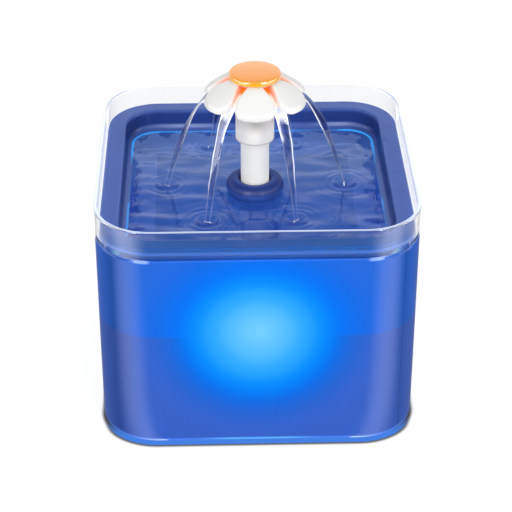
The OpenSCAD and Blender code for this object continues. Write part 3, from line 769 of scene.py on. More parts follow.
# %% [markdown]
# ## Finishes on the CAD pieces
#
# A CAD piece keeps its shape and only gets a finish.

# %% Give each CAD piece its finish
node_finish = {
    "tank": "lit tank plastic",
    "anti_slip_feet": "foot rubber",
    "cable_grommet": "grommet rubber",
    "splash_collar": "clear plastic",
    "drinking_tray": "tray plastic",
    "filter_basket": "white plastic",
    "filter_lid": "white plastic",
    "upper_filter_pad": "fleece",
    "carbon_bed": "carbon grains",
    "resin_bed": "resin beads",
    "lower_filter_pad": "fleece",
    "riser_tube": "riser plastic with painted glow",
    "riser_seal": "seal rubber",
    "flower_sleeve": "sleeve plastic",
    "flower_hub": "hub plastic",
    "flower_petals": "petal plastic",
    "flower_cap": "orange plastic",
    "pump_housing": "pump plastic",
    "motor_end_cover": "cover plastic",
    "led_lens": "lens plastic",
    "leds": "lamp",
    "driver_board": "circuit board",
    "stator_core": "laminations",
    "stator_coils": "copper",
    "rotor_magnet": "ferrite",
    "impeller": "white plastic",
    "rotor_shaft": "steel",
    "shaft_bushes": "seal rubber",
    "volute_cover": "cover plastic",
    "strainer_cover": "cover plastic",
    "inlet_sponge": "sponge",
    "flow_slider": "slider plastic",
    "outlet_nozzle": "slider plastic",
    "nozzle_seal": "seal rubber",
    "suction_cups": "cup rubber",
    "pump_cable_seal": "seal rubber",
}
for node, name in node_finish.items():
    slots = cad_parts[node].data.materials
    slots.clear()
    slots.append(finish[name])
print("CAD pieces finished:", len(node_finish), "of", len(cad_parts))

# %% [markdown]
# ## The stage
#
# The fountain stands on a white floor in a white room. White to the camera could be had with
# strong lamps, but then pale plastic loses its shape. So the room is white only to the camera
# and to clear pieces. In mirrors it fades to black upwards, and it lights the object itself at
# a plain level.

# %% The room
def room():
    """A world that is white to look at, fades to black upwards in mirrors, and is softer as a light."""
    world = bpy.data.worlds.new("room")
    bpy.context.scene.world = world
    world.use_nodes = True
    nodes = Nodes(world.node_tree)
    ray = nodes.add("LightPath")
    up = nodes.add("SeparateXYZ", {0: nodes.add("TexCoord")["Generated"]})[2]
    mirrored = nodes.fade(up, 0.28, 0.74, 1.1, 0.0)
    strength = nodes.mix(ray["Is Glossy Ray"], 0.64, mirrored)
    seen_through = nodes.maths("MAXIMUM", ray["Is Camera Ray"], ray["Is Transmission Ray"])
    background = world.node_tree.nodes["Background"].inputs
    nodes.plug(background["Color"], (1, 1, 1))
    nodes.plug(background["Strength"], nodes.mix(seen_through, strength, 1.0))


room()
print("room ready")

# %% [markdown]
# ### The floor and what the tank mirrors in it
#
# A camera that looks down sees the floor mirrored in the tank's walls. In a studio the floor is
# dark towards the camera, where no lamp stands, and bright to the left and right, where the
# softboxes are. That makes the soft pale bands on the tank's rounded corners, so the floor
# answers mirrored rays in that way: bright in a wedge to each side, dim in front, white behind.
# To the camera the floor is white paper. It darkens only close under the object, where little
# light gets in, and the tank's lit foot spills a little blue on it in front.

# %% The floor
def floor_mirror(nodes):
    """How bright the floor is to a mirrored ray, by direction from the tank's front corner."""
    x, y, _ = nodes.add("SeparateXYZ", {0: nodes.add("NewGeometry")["Position"]})
    beside, before = nodes.minus(nodes.size(x), 48 * mm), nodes.minus(-81 * mm, y)
    turn = nodes.maths("ARCTAN2", beside, before)
    rise = nodes.fade(turn, math.radians(18), math.radians(54), 0.05, 4.4)
    fall = nodes.fade(turn, math.radians(62), math.radians(96), 0.0, -4.2)
    behind = nodes.fade(turn, math.radians(148), math.radians(165), 0.0, 0.7)
    direct = nodes.maths("ADD", nodes.maths("ADD", rise, fall), behind)
    inside_glass = nodes.add("LightPath")["Transmission Depth"]
    return nodes.mix(nodes.fade(inside_glass, 0.0, 1.0), direct, 1.0)


def floor_seen(nodes, x, y):
    """The floor to the camera: white, blue where the tank's foot lights it, with a narrow shadow."""
    from_wall = nodes.minus(outward_by(nodes, x, y), tank_high.x)
    front = nodes.fade(y, -62 * mm, -80 * mm)
    spill = nodes.times(nodes.fade(from_wall, 1.3 * mm, 0.8 * mm), front)
    near = nodes.fade(nodes.minus(from_wall, nodes.fade(front, 0.0, 1.0, 0.0, 1.5 * mm)), 3.4 * mm, 0.0)
    dark = nodes.times(near, near)
    open_sky = nodes.add("AmbientOcclusion", {"Distance": 3 * mm})["AO"]
    light = nodes.times(nodes.minus(1.0, nodes.times(dark, 0.85)), open_sky)
    light = nodes.blend(spill, nodes.scale((0.8, 0.8, 0.8), light), (0.06, 0.22, 0.78))
    grain = nodes.add("TexNoise", {"Scale": 30.0})["Fac"]
    free = nodes.minus(1.0, nodes.maths("MAXIMUM", dark, spill))
    white = nodes.times(nodes.fade(grain, 0.0, 1.0, 0.29, 0.31), free)
    shadow = nodes.add("BsdfDiffuse", {"Color": white})[0]
    paper = nodes.add("Emission", {"Color": light, "Strength": 1.0})[0]
    return nodes.add("AddShader", {0: shadow, 1: paper})[0]


def floor_finish():
    """A floor that answers each kind of ray in its own way."""
    material = bpy.data.materials.new("floor")
    material.use_nodes = True
    nodes = Nodes(material.node_tree)
    material.node_tree.nodes.remove(material.node_tree.nodes["Principled BSDF"])
    x, y, _ = nodes.add("SeparateXYZ", {0: nodes.add("NewGeometry")["Position"]})
    beside = nodes.fade(nodes.size(x), 90 * mm, 150 * mm)
    open_floor = nodes.maths("MAXIMUM", nodes.fade(y, -100 * mm, -88 * mm), beside)
    through = nodes.fade(open_floor, 0.0, 1.0, 0.25, 1.0)
    answers = {
        "Is Glossy Ray": nodes.add("Emission", {"Strength": floor_mirror(nodes)})[0],
        "Is Transmission Ray": nodes.add("Emission", {"Strength": through})[0],
        "Is Camera Ray": floor_seen(nodes, x, y),
    }
    ray = nodes.add("LightPath")
    result = nodes.add("BsdfDiffuse", {"Color": (0.75, 0.75, 0.75)})[0]
    for kind, answer in answers.items():
        result = nodes.add("MixShader", {0: ray[kind], 1: result, 2: answer})[0]
    nodes.plug(material.node_tree.nodes["Material Output"].inputs["Surface"], result)
    return material


floor_size = 8
under_feet = 0.2 * mm
bpy.ops.mesh.primitive_plane_add(size=floor_size, location=(0, 0, -under_feet))
floor = bpy.context.object
floor.name = "floor"
bpy.ops.object.transform_apply(location=True, rotation=True, scale=True)
floor.data.materials.append(floor_finish())
print("floor ready")

# %% [markdown]
# ### Lamps
#
# Two softboxes in front, to the left and right of the camera, light what faces the camera. A
# smaller, brighter lamp in each is only mirrored, and makes a glint on the cap's edge and on
# the tray's neck. A broad lamp behind and overhead fills in. Two strip lights stand at the sides
# and are only mirrored too.

# %% Lamps
lamps_aim_at = Vector((0, 0, 100)) * mm


def area_lamp(name, turn, height, away, size, watts, only_mirrored=False):
    """A square lamp that faces the fountain, turned from the front and raised by degrees."""
    lamp = bpy.data.objects.new(name, bpy.data.lights.new(name, "AREA"))
    bpy.context.collection.objects.link(lamp)
    lamp.location = direction(math.radians(turn), math.radians(height)) * away
    aim(lamp, lamps_aim_at)
    lamp.data.size = size
    lamp.data.energy = watts
    lamp.visible_diffuse = lamp.visible_transmission = not only_mirrored


area_lamp("overhead lamp", 150, 75, away=1.3, size=0.9, watts=1.6)
for side in (-1, 1):
    area_lamp(f"softbox {side}", 37 * side, 34, away=1.5, size=0.5, watts=6.8)
    area_lamp(f"glint lamp {side}", 37 * side, 34, away=1.45, size=0.4, watts=16.0, only_mirrored=True)
    area_lamp(f"strip light {side}", 82 * side, 12, away=0.7, size=0.4, watts=5.0, only_mirrored=True)

# %% [markdown]
# ## Modelling by hand
#
# The pieces below are modelled as by hand: a primitive is added, opened in edit mode, and
# shaped by operators. An operator works on what is selected, so a few helpers select a piece,
# name it, pick some of its faces or edges and apply a modifier. Formulas bend a whole mesh or
# store a value on it, and their unevenness comes from a smooth noise that is always the same.

# %% Modelling helpers
def smooth(value, start, end):
    """0 before start, 1 after end and a smooth rise between."""
    share = min(1.0, max(0.0, (value - start) / (end - start)))
    return share * share * (3 - 2 * share)


def wander(x, y, z):
    """A smooth random value from -1 to 1 at a place."""
    return noise.noise(Vector((x, y, z)))


def only(piece):
    """Makes one piece the only one that is selected."""
    bpy.ops.object.select_all(action="DESELECT")
    piece.select_set(True)
    bpy.context.view_layer.objects.active = piece


def named(name):
    """Names the primitive that was added last."""
    piece = bpy.context.object
    piece.name = name
    piece.data.name = name
    return piece


def pick(piece, kind, test):
    """In edit mode, selects the faces or the edges that pass a test. kind is FACE or EDGE."""
    bpy.ops.mesh.select_mode(type=kind)
    bpy.ops.mesh.select_all(action="DESELECT")
    form = bmesh.from_edit_mesh(piece.data)
    parts = form.faces if kind == "FACE" else form.edges
    for part in parts:
        part.select_set(test(part))
    bmesh.update_edit_mesh(piece.data)


def reshape(piece, place):
    """Moves each vertex to the place that a formula gives for it."""
    for vertex in piece.data.vertices:
        vertex.co = place(vertex.co)


def store(piece, name, values):
    """Stores a value on each vertex, for a finish to read."""
    piece.data.attributes.new(name, "FLOAT", "POINT").data.foreach_set("value", values)


def apply_modifier(piece, kind, **settings):
    """Adds a modifier, sets it and applies it."""
    only(piece)
    modifier = piece.modifiers.new(kind, kind)
    for key, value in settings.items():
        setattr(modifier, key, value)
    bpy.ops.object.modifier_apply(modifier=modifier.name)


def complete(piece, finish_name, body, crease=35):
    """Gives a finished piece its normals, smooth shading, finish and body, and counts its parts.
    """
    only(piece)
    bpy.ops.object.transform_apply(location=True, rotation=True, scale=True)
    bpy.ops.object.mode_set(mode="EDIT")
    bpy.ops.mesh.select_all(action="SELECT")
    bpy.ops.mesh.normals_make_consistent(inside=False)
    bpy.ops.object.mode_set(mode="OBJECT")
    bpy.ops.object.shade_smooth_by_angle(angle=math.radians(crease))
    piece.data.materials.clear()
    piece.data.materials.append(finish[finish_name])
    if body:
        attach(piece, body)
    form = bmesh.new()
    form.from_mesh(piece.data)
    open_edges = sum(1 for edge in form.edges if len(edge.link_faces) != 2)
    form.free()
    print(f"{piece.name}: {len(piece.data.vertices)} vertices, {open_edges} open or shared edges")


print("modelling helpers ready")

# %% [markdown]
# ## Water in the tray
#
# The water is one closed block: its sides and floor lie just inside the plastic, so that no
# film of air shows between them, and its top is the surface that is seen. A flat top would look
# like glass. Each stream digs a dimple where it lands and sends out rings, the water sinks
# into uneven troughs along the side walls, and the whole surface sways a little. A fine grid is
# moved up and down by a formula for that. Noise alone would not give the rings, and a fluid
# simulation would be slow.

# %% Where the streams land, in mm from the middle, with the strength of their rings
landings = [
    ((-26.2, -33.6), 1.0),
    ((21.2, -33.2), 0.8),
    ((-48.6, 7.4), 0.9),
    ((49.9, 6.5), 1.0),
    ((-24.3, 52.1), 0.7),
    ((22.4, 50.9), 0.8),
]
first_ring = 5.6


def dip(x, y):
    """How far a place is inside the troughs along the side walls, in mm."""
    width = (3.0 + 2.5 * wander(x, y / 5, 3.7)) * smooth(30 - abs(y - 10), 0.0, 8.0)
    return max(0.0, width - (basin_half / mm - abs(x)))


def ripple(x, y):
    """Height of the water above its level, in mm, at a place in mm."""
    height = 0.65 * wander(x / 15, y / 8, 1.3) + 0.07 * wander(x / 8, y / 3.5, 7.1)
    for (landing_x, landing_y), strength in landings:
        away = math.hypot(x - landing_x, y - landing_y)
        rings = math.cos(2 * math.pi * (away - first_ring) / (3.4 + 0.05 * away))
        height += strength * 0.6 * math.exp(-away / 6) * rings * min(1.0, away / 5)
        height += strength * 0.45 * math.exp(-(((away - first_ring) / 1.3) ** 2))
        height -= strength * 1.8 * math.exp(-((away / 3.6) ** 2))
    return height - 0.45 * dip(x, y)


print("ripples from", round(min(ripple(x, 0) for x in range(-68, 69)), 2), "mm along the middle")

# %% A block of water in a rounded square
def to_rounded_square(x, y):
    """Pulls the corners of a square in to the round corners that all the walls share."""
    over_x, over_y = abs(x) - corner_at, abs(y) - corner_at
    if over_x <= 0 or over_y <= 0:
        return x, y
    pull = max(over_x, over_y) / math.hypot(over_x, over_y)
    return math.copysign(corner_at + over_x * pull, x), math.copysign(corner_at + over_y * pull, y)


def water_block(name, half, level, floor_z, cells, hole=0.0, height=None):
    """A closed block of water. hole is the radius left open in the middle."""
    bpy.ops.mesh.primitive_grid_add(x_subdivisions=cells, y_subdivisions=cells, size=2 * half)
    piece = named(name)

    def surface(point):
        x, y = to_rounded_square(point.x, point.y)
        rise = height(x / mm, y / mm) * mm if height else 0.0
        return Vector((x, y, level + rise))

    reshape(piece, surface)
    bpy.ops.object.mode_set(mode="EDIT")
    if hole:
        pick(piece, "FACE", lambda face: face.calc_center_median().xy.length < hole)
        bpy.ops.mesh.delete(type="FACE")
    pick(piece, "EDGE", lambda edge: edge.is_boundary)
    bpy.ops.mesh.extrude_edges_move()
    form = bmesh.from_edit_mesh(piece.data)
    for vertex in form.verts:
        if vertex.select:
            vertex.co.z = floor_z
    bmesh.update_edit_mesh(piece.data)
    if hole:
        bpy.ops.mesh.bridge_edge_loops()
    else:
        bpy.ops.mesh.edge_face_add()
    bpy.ops.object.mode_set(mode="OBJECT")
    return piece


print("water helper ready")

# %% [markdown]
# ### Where the tray's water looks blue
#
# Water shows the blue tray under it best where it mirrors no bright room: in front of each
# landing, in patches along the walls, round the neck, and where it mirrors the streams and the
# neck. These are painted reflections. Mirror images as thin as the streams' would need a much
# finer grid, so these lines are worked out by formulas as well. All of it is stored on the mesh
# as `deep`, from 0 to 1, and stays where it is when the spout turns.

# %% How blue the tray's water looks
landing_shade_shift = 3.0
neck_shade_radius = 15.6
neck_x = 1.2
stream_threads = [
    ((-47.5, 3.0), (-41.0, -44.0)),
    ((49.0, 1.0), (43.5, -42.0)),
    ((-20.5, 4.0), (-9.5, -46.0)),
    ((21.0, 2.0), (11.0, -46.0)),
]


def neck_outline(x, y):
    """The neck and the riser mirrored in front of the neck: a line that swells, fainter inside."""
    lip = 5.5 * smooth(-20.5 - y, -3.0, 0.0) * smooth(y + 24, 0.0, 4.0)
    half_width = 4.2 + lip + 4.5 * smooth(-31 - y, 0.0, 6.0)
    line = abs(abs(x - neck_x + 0.5 * wander(x, y / 3, 2.0)) - half_width)
    inside = 0.45 * smooth(half_width - abs(x - neck_x), 0.0, 1.0)
    return max(smooth(1.6 - line, 0.0, 1.0), inside) * smooth(-17 - y, 0.0, 3.0)


def thread(x, y, start, end):
    """A stream's mirrored line, uneven, from start to end."""
    share = (y - start[1]) / (end[1] - start[1])
    wave = 1.3 * wander(start[0], y / 4, 5.0) + 0.8 * wander(start[0], y / 1.6, 8.0)
    away = abs(x - start[0] - (end[0] - start[0]) * share - wave)
    return 0.9 * smooth(1.1 - away, 0.0, 0.7) * smooth(share, 0.0, 0.08) * smooth(1 - share, 0.0, 0.2)


def wall_patch(x, y):
    """Uneven patches of painted dark reflection along the walls."""
    from_wall = basin_half / mm - max(abs(x), abs(y))
    patch = wander(x / 9, y / 7, 4.4) + 0.35 * wander(x / 3, y / 3, 9.0)
    return smooth(patch, -0.15, 0.0) * smooth(5 + 8 * patch - from_wall, 0.0, 0.8)


def deep(x, y):
    """How strong the painted dark reflection is at a place in mm: as the strongest of its reasons makes it.
    """
    looks = [neck_outline(x, y), wall_patch(x, y), smooth(dip(x, y), 0.0, 0.5)]
    looks.append(0.9 * smooth(neck_shade_radius - math.hypot(x, y), 0.0, 1.0))
    for (landing_x, landing_y), _ in landings:
        away = math.hypot((x - landing_x) / 5.5, (y - landing_y + landing_shade_shift) / 3.4)
        looks.append(smooth(1.35 - away, 0.0, 0.5))
    looks += [thread(x, y, start, end) for start, end in stream_threads]
    return max(looks)


print("deepest blue in front of the neck:", round(max(deep(0, y) for y in range(-60, -17)), 2))

# %% The tray's water and the tank's
into_wall = 0.2 * mm
neck_hole = 11.6 * mm
tank_wall, tank_floor = 2.4 * mm, 3.6 * mm

basin_size = (basin_half + into_wall, water_level, basin_floor - into_wall)
basin_water = water_block("basin_water", *basin_size, cells=190, hole=neck_hole, height=ripple)
store(basin_water, "deep", [deep(v.co.x / mm, v.co.y / mm) for v in basin_water.data.vertices])
complete(basin_water, "pool water", "tray")
tank_size = (tank_high.x - tank_wall + into_wall, tank_water_level, tank_floor)
tank_water = water_block("tank_water", *tank_size, cells=48)
complete(tank_water, "water", "tank")

# %% [markdown]
# ## The six streams
#
# Water comes out between the petals as a thin sheet that surface tension pulls into a thick rim
# at each side, and the two rims draw together as it falls. The left and right sheets twist too.
# A round tube would look like wire. A cylinder with many rings is the start. Each ring is laid
# on the stream's path, which is a thrown ball's curve, and pressed into that section: two round
# rims with a film between. The painted gleam and the painted blue of the tray are stored on the mesh.

# %% A stream's path and section
stream_top_r = 21.0
stream_top_z = 168.6
stream_slope = 0.35
stream_sway = 0.8
foot_under_water = 0.9
foot_half_width = 1.3
foot_spread_from = 0.965


def stream_section(turn, half_width, rim):
    """A point of the section at an angle round it: two rims joined by a thin film."""
    side, face = math.cos(turn), math.sin(turn)
    wide = (half_width - rim) * math.tanh(3 * side) / math.tanh(3) + rim * side
    film = min(1.0, 0.28 + 0.72 * side * side)
    return wide, rim * film * face


def stream_path(landing, top_width, twist):
    """The formula that lays an upright cylinder, 1 high, along a stream's fall."""
    outward = Vector(landing).normalized()
    sideways = Vector((-outward.y, outward.x))
    run = Vector(landing).length - stream_top_r
    drop = stream_top_z - water_level / mm + foot_under_water
    bend = (drop - stream_slope * run) / run**2

    def lay(point):
        fall = 0.5 - point.z
        travel = run * fall**0.62
        middle = outward * (stream_top_r + travel)
        z = stream_top_z - stream_slope * travel - bend * travel**2
        narrow = 1.0 - fall**1.1
        foot = max(0.0, (fall - foot_spread_from) / (1 - foot_spread_from)) ** 2
        wobble = stream_sway * wander(fall * 6, stream_top_r, landing[0]) * fall * (1 - fall) * 4
        half_width = foot_half_width + (top_width / 2 - foot_half_width) * narrow + 0.7 * foot
        half_width += 0.15 * wander(fall * 9, landing[1], 0)
        rim = 0.5 + 0.3 * narrow + 0.12 * wander(fall * 11, 3.3, landing[1]) + 0.25 * foot
        wide, thick = stream_section(math.atan2(point.y, point.x), max(half_width, rim * 1.15), rim)
        tilt = 0.3 * stream_sway * math.sin(fall * 5) + twist * smooth(fall, 0.0, 0.6)
        middle += sideways * (wide * math.cos(tilt) + wobble)
        middle += outward * (thick + wide * math.sin(tilt))
        return Vector((middle.x, middle.y, z)) * mm

    return lay


print("stream path ready")

# %% What gleams on a stream
def stream_light(landing, gleams, glowing_top):
    """The formulas for a place on a stream: its painted gleam and its painted blue of the tray."""
    brighter = math.copysign(1, gleams[0] - gleams[1])

    def reach(side):
        return gleams[0] if side < 0 else gleams[1]

    # Painted highlights: a white glow near the top of the front streams and a gleam along the rims.
    def painted_top_glow(fall):
        return glowing_top * smooth(0.16 - fall, 0.0, 0.08)

    def gleam(fall, side):
        uneven = 0.75 + 0.5 * wander(fall * 14, landing[0], side)
        rim = uneven * smooth(abs(side), 0.35, 0.75) * max(0.12, smooth(reach(side) - fall, 0.0, 0.25))
        inner = glowing_top * smooth(side * brighter, 0.15, 0.45) * smooth(0.34 - fall, 0.0, 0.06)
        braid = 0.78 + 0.8 * wander(fall * 22, 5.0 * side, landing[0])
        return max(rim, braid * inner, 0.8 * braid * painted_top_glow(fall))

    def film(fall, side):
        dark_rim = 1.0 if reach(side) == 0.0 else 0.0
        inner = 1 - smooth(abs(side), 0.5, 0.9)
        not_white = max(0.0, 1 - 0.25 * glowing_top - painted_top_glow(fall))
        return not_white * max(inner, dark_rim) * smooth(0.95 - fall, 0.0, 0.5)

    return {"gleam": gleam, "film": film}


print("stream light ready")

# %% A stream
stream_cuts = 63


def make_stream(name, landing, top_width, twist, gleams, glowing_top):
    """A sheet of water from between two petals to its landing, in mm, that twists by an angle.

    gleams are how far down its two rims have a painted gleam, as shares of the fall.
    glowing_top, 0 or 1, paints its top white with the same glow.
    """
    bpy.ops.mesh.primitive_cylinder_add(vertices=28, radius=1, depth=1, end_fill_type="NGON")
    piece = named(name)
    bpy.ops.object.mode_set(mode="EDIT")
    pick(piece, "EDGE", lambda edge: abs(edge.verts[0].co.z - edge.verts[1].co.z) > 0.5)
    bpy.ops.mesh.subdivide(number_cuts=stream_cuts)
    bpy.ops.object.mode_set(mode="OBJECT")
    points = [vertex.co for vertex in piece.data.vertices]
    places = [(0.5 - point.z, math.cos(math.atan2(point.y, point.x))) for point in points]
    for look, formula in stream_light(landing, gleams, glowing_top).items():
        store(piece, look, [formula(fall, side) for fall, side in places])
    reshape(piece, stream_path(landing, top_width, twist))
    complete(piece, "stream water", None, crease=60)
    return piece


print("stream helper ready")

# %% The six streams, each with its top width, twist, painted gleams and painted glowing top
stream_looks = {
    "front_left": (6.6, 0.0, (0.85, 0.36), 1.0),
    "front_right": (6.6, 0.0, (0.36, 0.85), 1.0),
    "left": (8.4, -0.7, (0.0, 0.55), 0.0),
    "right": (8.4, 0.5, (0.55, 0.0), 0.0),
    "back_left": (5.0, 0.0, (0.1, 0.1), 0.0),
    "back_right": (5.0, 0.0, (0.1, 0.1), 0.0),
}
for (side, look), (landing, _) in zip(stream_looks.items(), landings):
    stream = make_stream(f"stream_{side}", landing, *look)
    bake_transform(stream)

# %% [markdown]
# ## The petals
#
# Each petal is a little moulded dish turned over: a domed top that runs on into rounded side
# walls. A CAD hull gives flat facets there. A disc made of rings is the start. It is stretched
# to the petal's outline, the line of a string drawn tight round four round pegs, and its rings
# are dropped along the flower's arch, the outer ones more steeply.

# %% The petal's outline and arch, in mm, along a petal that points along +X
petal_pegs = [((8.6, 0.0), 1.6), ((20.9, 0.0), 7.6), ((22.0, 5.2), 5.5), ((22.0, -5.2), 5.5)]
petal_middle = 18.6
arch_middle = (3.97, 151.38)
arch_radius = 28.0
arch_end = 21.0


def string_reach(angle):
    """How far a string round the pegs is from the petal's middle: the nearest tangent line."""
    reach = math.inf
    for step in range(-88, 90, 2):
        normal = angle + math.radians(step)
        across = math.cos(math.radians(step))
        support = max(
            (x - petal_middle) * math.cos(normal) + y * math.sin(normal) + radius
            for (x, y), radius in petal_pegs
        )
        reach = min(reach, support / across)
    return reach


string = [string_reach(math.radians(turn)) for turn in range(0, 360, 3)]


def petal_reach(angle):
    """The string's reach, averaged over 24 degrees so that the outline has no corners."""
    place = math.degrees(angle) / 3
    near = math.floor(place)

    def average(step):
        return sum(string[(step + offset) % 120] for offset in range(-4, 5)) / 9

    return average(near) + (average(near + 1) - average(near)) * (place - near)


def arch_z(r):
    """Height of the petals' arch at a distance from the flower's axis: round, then straight."""
    run = min(r, arch_end) - arch_middle[0]
    height = math.sqrt(arch_radius**2 - run**2)
    return arch_middle[1] + height - max(0.0, r - arch_end) * run / height


petal_tip, petal_half_width = petal_middle + petal_reach(0), petal_reach(math.pi / 2)
print("petal tip reaches", round(petal_tip, 2), "mm, half width", round(petal_half_width, 2))

# %% One petal
def make_petal():
    """A domed petal that points along +X."""
    bpy.ops.mesh.primitive_circle_add(vertices=96, radius=1, fill_type="NGON")
    piece = named("petal")
    bpy.ops.object.mode_set(mode="EDIT")
    bpy.ops.mesh.select_all(action="SELECT")
    rings = 16
    radii = [math.sin(math.pi / 2 * (1 - ring / rings)) for ring in range(rings)]
    for outer, inner in zip(radii, radii[1:]):
        bpy.ops.mesh.inset(thickness=outer - inner)
    bpy.ops.mesh.poke()
    bpy.ops.object.mode_set(mode="OBJECT")

    painted_hub_glow = []
    wall_radius = 1.3

    def dome(point):
        share = min(1.0, point.xy.length)
        angle = math.atan2(point.y, point.x)
        reach = petal_reach(angle) * share
        x, y = petal_middle + reach * math.cos(angle), reach * math.sin(angle)
        r = math.hypot(x, y)
        wall_drop = 2.5 + 1.6 * smooth(abs(angle), 0.9, 1.9)
        wall_run = min(1.0, wall_radius / petal_reach(angle))
        down = max(0.0, (share - 1 + wall_run) / wall_run)
        # The hub's painted light is strongest low on the walls, near the flower's middle.
        painted_hub_glow.append(min(1.0, 1.5 * down) * smooth(26 - r, 0, 13))
        return Vector((x, y, arch_z(r) - wall_drop * (1 - math.sqrt(1 - 0.96 * down**2)) / 0.8)) * mm

    reshape(piece, dome)
    store(piece, "painted_hub_glow", painted_hub_glow)
    apply_modifier(piece, "SOLIDIFY", thickness=1.3 * mm, offset=-1, use_even_offset=True)
    return piece


petal = make_petal()
print("petal", len(petal.data.vertices), "vertices")

# %% Six petals and the ring that holds them
first_petal_turn = -91
ring_width = 5.1 * mm
ring_size = {"radius": 11.6 * mm, "depth": 1.4 * mm, "location": (0, 0, cap_z - 0.75 * mm)}

petals = [petal.copy() for _ in range(5)]
for copy in petals:
    copy.data = petal.data.copy()
    bpy.context.collection.objects.link(copy)
petals.append(petal)
for turn, copy in enumerate(petals):
    copy.rotation_euler.z = math.radians(60 * turn + first_petal_turn)

bpy.ops.object.select_all(action="DESELECT")
bpy.ops.mesh.primitive_cylinder_add(vertices=96, **ring_size)
ring = named("flower_crown")
bpy.ops.object.mode_set(mode="EDIT")
pick(ring, "FACE", lambda face: abs(face.normal.z) > 0.9)
bpy.ops.mesh.inset(thickness=ring_width)
bpy.ops.mesh.bridge_edge_loops()
bpy.ops.object.mode_set(mode="OBJECT")
for copy in petals:
    copy.select_set(True)
bpy.ops.object.join()
crown = named("flower_crown")
complete(crown, "petal plastic", "flower", crease=50)
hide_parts("flower_petals")

# %% [markdown]
# ## The cap
#
# The cap is a button with a soft upper edge, where the two glints sit, and a boss below that
# snaps into the petals' ring. A cylinder gets both its edges bevelled, its lower face is inset
# and pushed down for the boss, and its top is bent by a formula, which needs a few inner rings.

# %% The cap
upper_edge, lower_edge = 0.9 * mm, 0.5 * mm
boss_radius, boss_depth = 6.2 * mm, 1.4 * mm
top_ring_width = 4 * mm
touching = 0.1 * mm
cap_size = {"radius": cap_high.x, "depth": cap_high.z - cap_z, "location": (0, 0, (cap_high.z + cap_z) / 2)}

bpy.ops.object.select_all(action="DESELECT")
bpy.ops.mesh.primitive_cylinder_add(vertices=128, **cap_size)
cap = named("cap")
bpy.ops.object.transform_apply(location=True, rotation=True, scale=True)
bpy.ops.object.mode_set(mode="EDIT")
pick(cap, "EDGE", lambda edge: all(v.co.z > cap_high.z - touching for v in edge.verts))
bpy.ops.mesh.bevel(offset=upper_edge, segments=8)
pick(cap, "EDGE", lambda edge: all(v.co.z < cap_z + touching for v in edge.verts))
bpy.ops.mesh.bevel(offset=lower_edge, segments=3)
pick(cap, "FACE", lambda face: face.normal.z < -0.9 and len(face.verts) > 50)
bpy.ops.mesh.inset(thickness=cap_high.x - lower_edge - boss_radius)
bpy.ops.mesh.extrude_region_move(TRANSFORM_OT_translate={"value": (0, 0, -boss_depth)})
pick(cap, "FACE", lambda face: face.normal.z > 0.9 and len(face.verts) > 50)
bpy.ops.mesh.inset(thickness=top_ring_width)
bpy.ops.mesh.inset(thickness=top_ring_width)
bpy.ops.mesh.poke()
bpy.ops.object.mode_set(mode="OBJECT")

level_to = cap_z + 1 * mm
crown_fall = 0.35 * mm


def crowned(point):
    """Lets the cap's top fall a little towards its edge."""
    raised = max(0.0, (point.z - level_to) / (cap_high.z - level_to))
    return point - Vector((0, 0, crown_fall * raised * (point.xy.length / cap_high.x) ** 2))


reshape(cap, crowned)
complete(cap, "orange plastic", "flower", crease=40)
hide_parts("flower_cap")

# %% [markdown]
# ## Fleece pads and the inlet sponge
#
# The CAD holds these soft pieces as plain blocks. The pads are felted fleece: rings with soft
# edges and an uneven face. A disc is inset ring by ring and opened in the middle. Its face is
# moved by noise before it gets its thickness, and its edges are rounded last. The sponge is a
# block that bulges a little between its corners and is pitted all over.

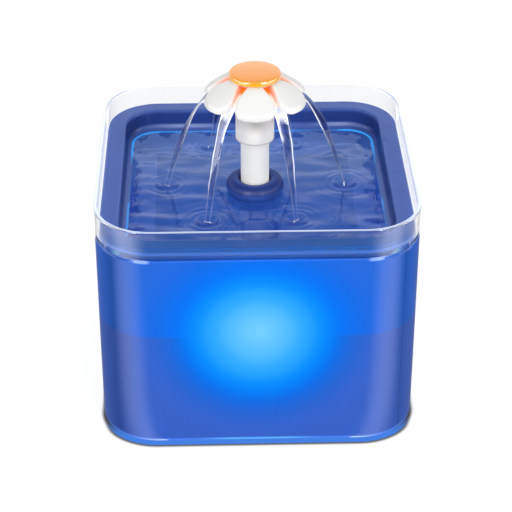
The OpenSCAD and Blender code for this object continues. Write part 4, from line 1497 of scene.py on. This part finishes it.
# %% A fleece pad
def fleece_pad(node):
    """A felted ring in the place of a CAD pad."""
    low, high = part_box(node)
    outer, inner = high.x, 10.0 * mm
    bumps, bumps_per_metre = 0.12 * mm, 260
    thick = high.z - low.z - 2 * bumps
    top = (0, 0, high.z - bumps)
    bpy.ops.object.select_all(action="DESELECT")
    bpy.ops.mesh.primitive_circle_add(vertices=144, radius=outer, fill_type="NGON", location=top)
    piece = named(f"{node}_felt")
    bpy.ops.object.transform_apply(location=True, rotation=True, scale=True)
    bpy.ops.object.mode_set(mode="EDIT")
    bpy.ops.mesh.select_all(action="SELECT")
    rings = 22
    for _ in range(rings):
        bpy.ops.mesh.inset(thickness=(outer - inner) / rings)
    bpy.ops.mesh.delete(type="FACE")
    bpy.ops.object.mode_set(mode="OBJECT")
    reshape(piece, lambda point: point + Vector((0, 0, bumps * noise.noise(point * bumps_per_metre))))
    apply_modifier(piece, "SOLIDIFY", thickness=thick, offset=-1)
    edge = min(0.6 * mm, thick * 0.35)
    apply_modifier(piece, "BEVEL", width=edge, segments=3, limit_method="ANGLE", angle_limit=1.0)
    complete(piece, "fleece", "filter", crease=60)
    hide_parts(node)


fleece_pad("upper_filter_pad")
fleece_pad("lower_filter_pad")

# %% The sponge
def make_sponge():
    """A block of foam that bulges between its corners and is pitted all over."""
    low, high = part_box("inlet_sponge")
    middle, size = (low + high) / 2, high - low
    corner_radius, cell = 3.5 * mm, 0.75 * mm
    deep_pores_per_metre, wide_pores_per_metre = 900, 420
    bpy.ops.object.select_all(action="DESELECT")
    bpy.ops.mesh.primitive_cube_add(size=1, location=middle)
    piece = named("sponge_block")
    piece.scale = size
    bpy.ops.object.transform_apply(location=True, rotation=True, scale=True)
    bpy.ops.object.mode_set(mode="EDIT")
    pick(piece, "EDGE", lambda edge: abs(edge.verts[0].co.y - edge.verts[1].co.y) > size.y / 2)
    bpy.ops.mesh.bevel(offset=corner_radius, segments=5)
    bpy.ops.object.mode_set(mode="OBJECT")
    apply_modifier(piece, "REMESH", mode="VOXEL", voxel_size=cell)

    def foam(point):
        around = Vector([(point[i] - middle[i]) / (size[i] / 2) for i in range(3)])
        inward = -around.normalized()
        pull = 0.35 * mm * max(abs(around.x), abs(around.z)) ** 2
        deep_pores = 0.30 * mm * max(0.0, noise.noise(point * deep_pores_per_metre))
        wide_pores = 0.18 * mm * (1 + noise.noise(point * wide_pores_per_metre))
        return point + inward * (pull + deep_pores + wide_pores)

    reshape(piece, foam)
    complete(piece, "sponge", "strainer", crease=80)
    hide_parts("inlet_sponge")


make_sponge()
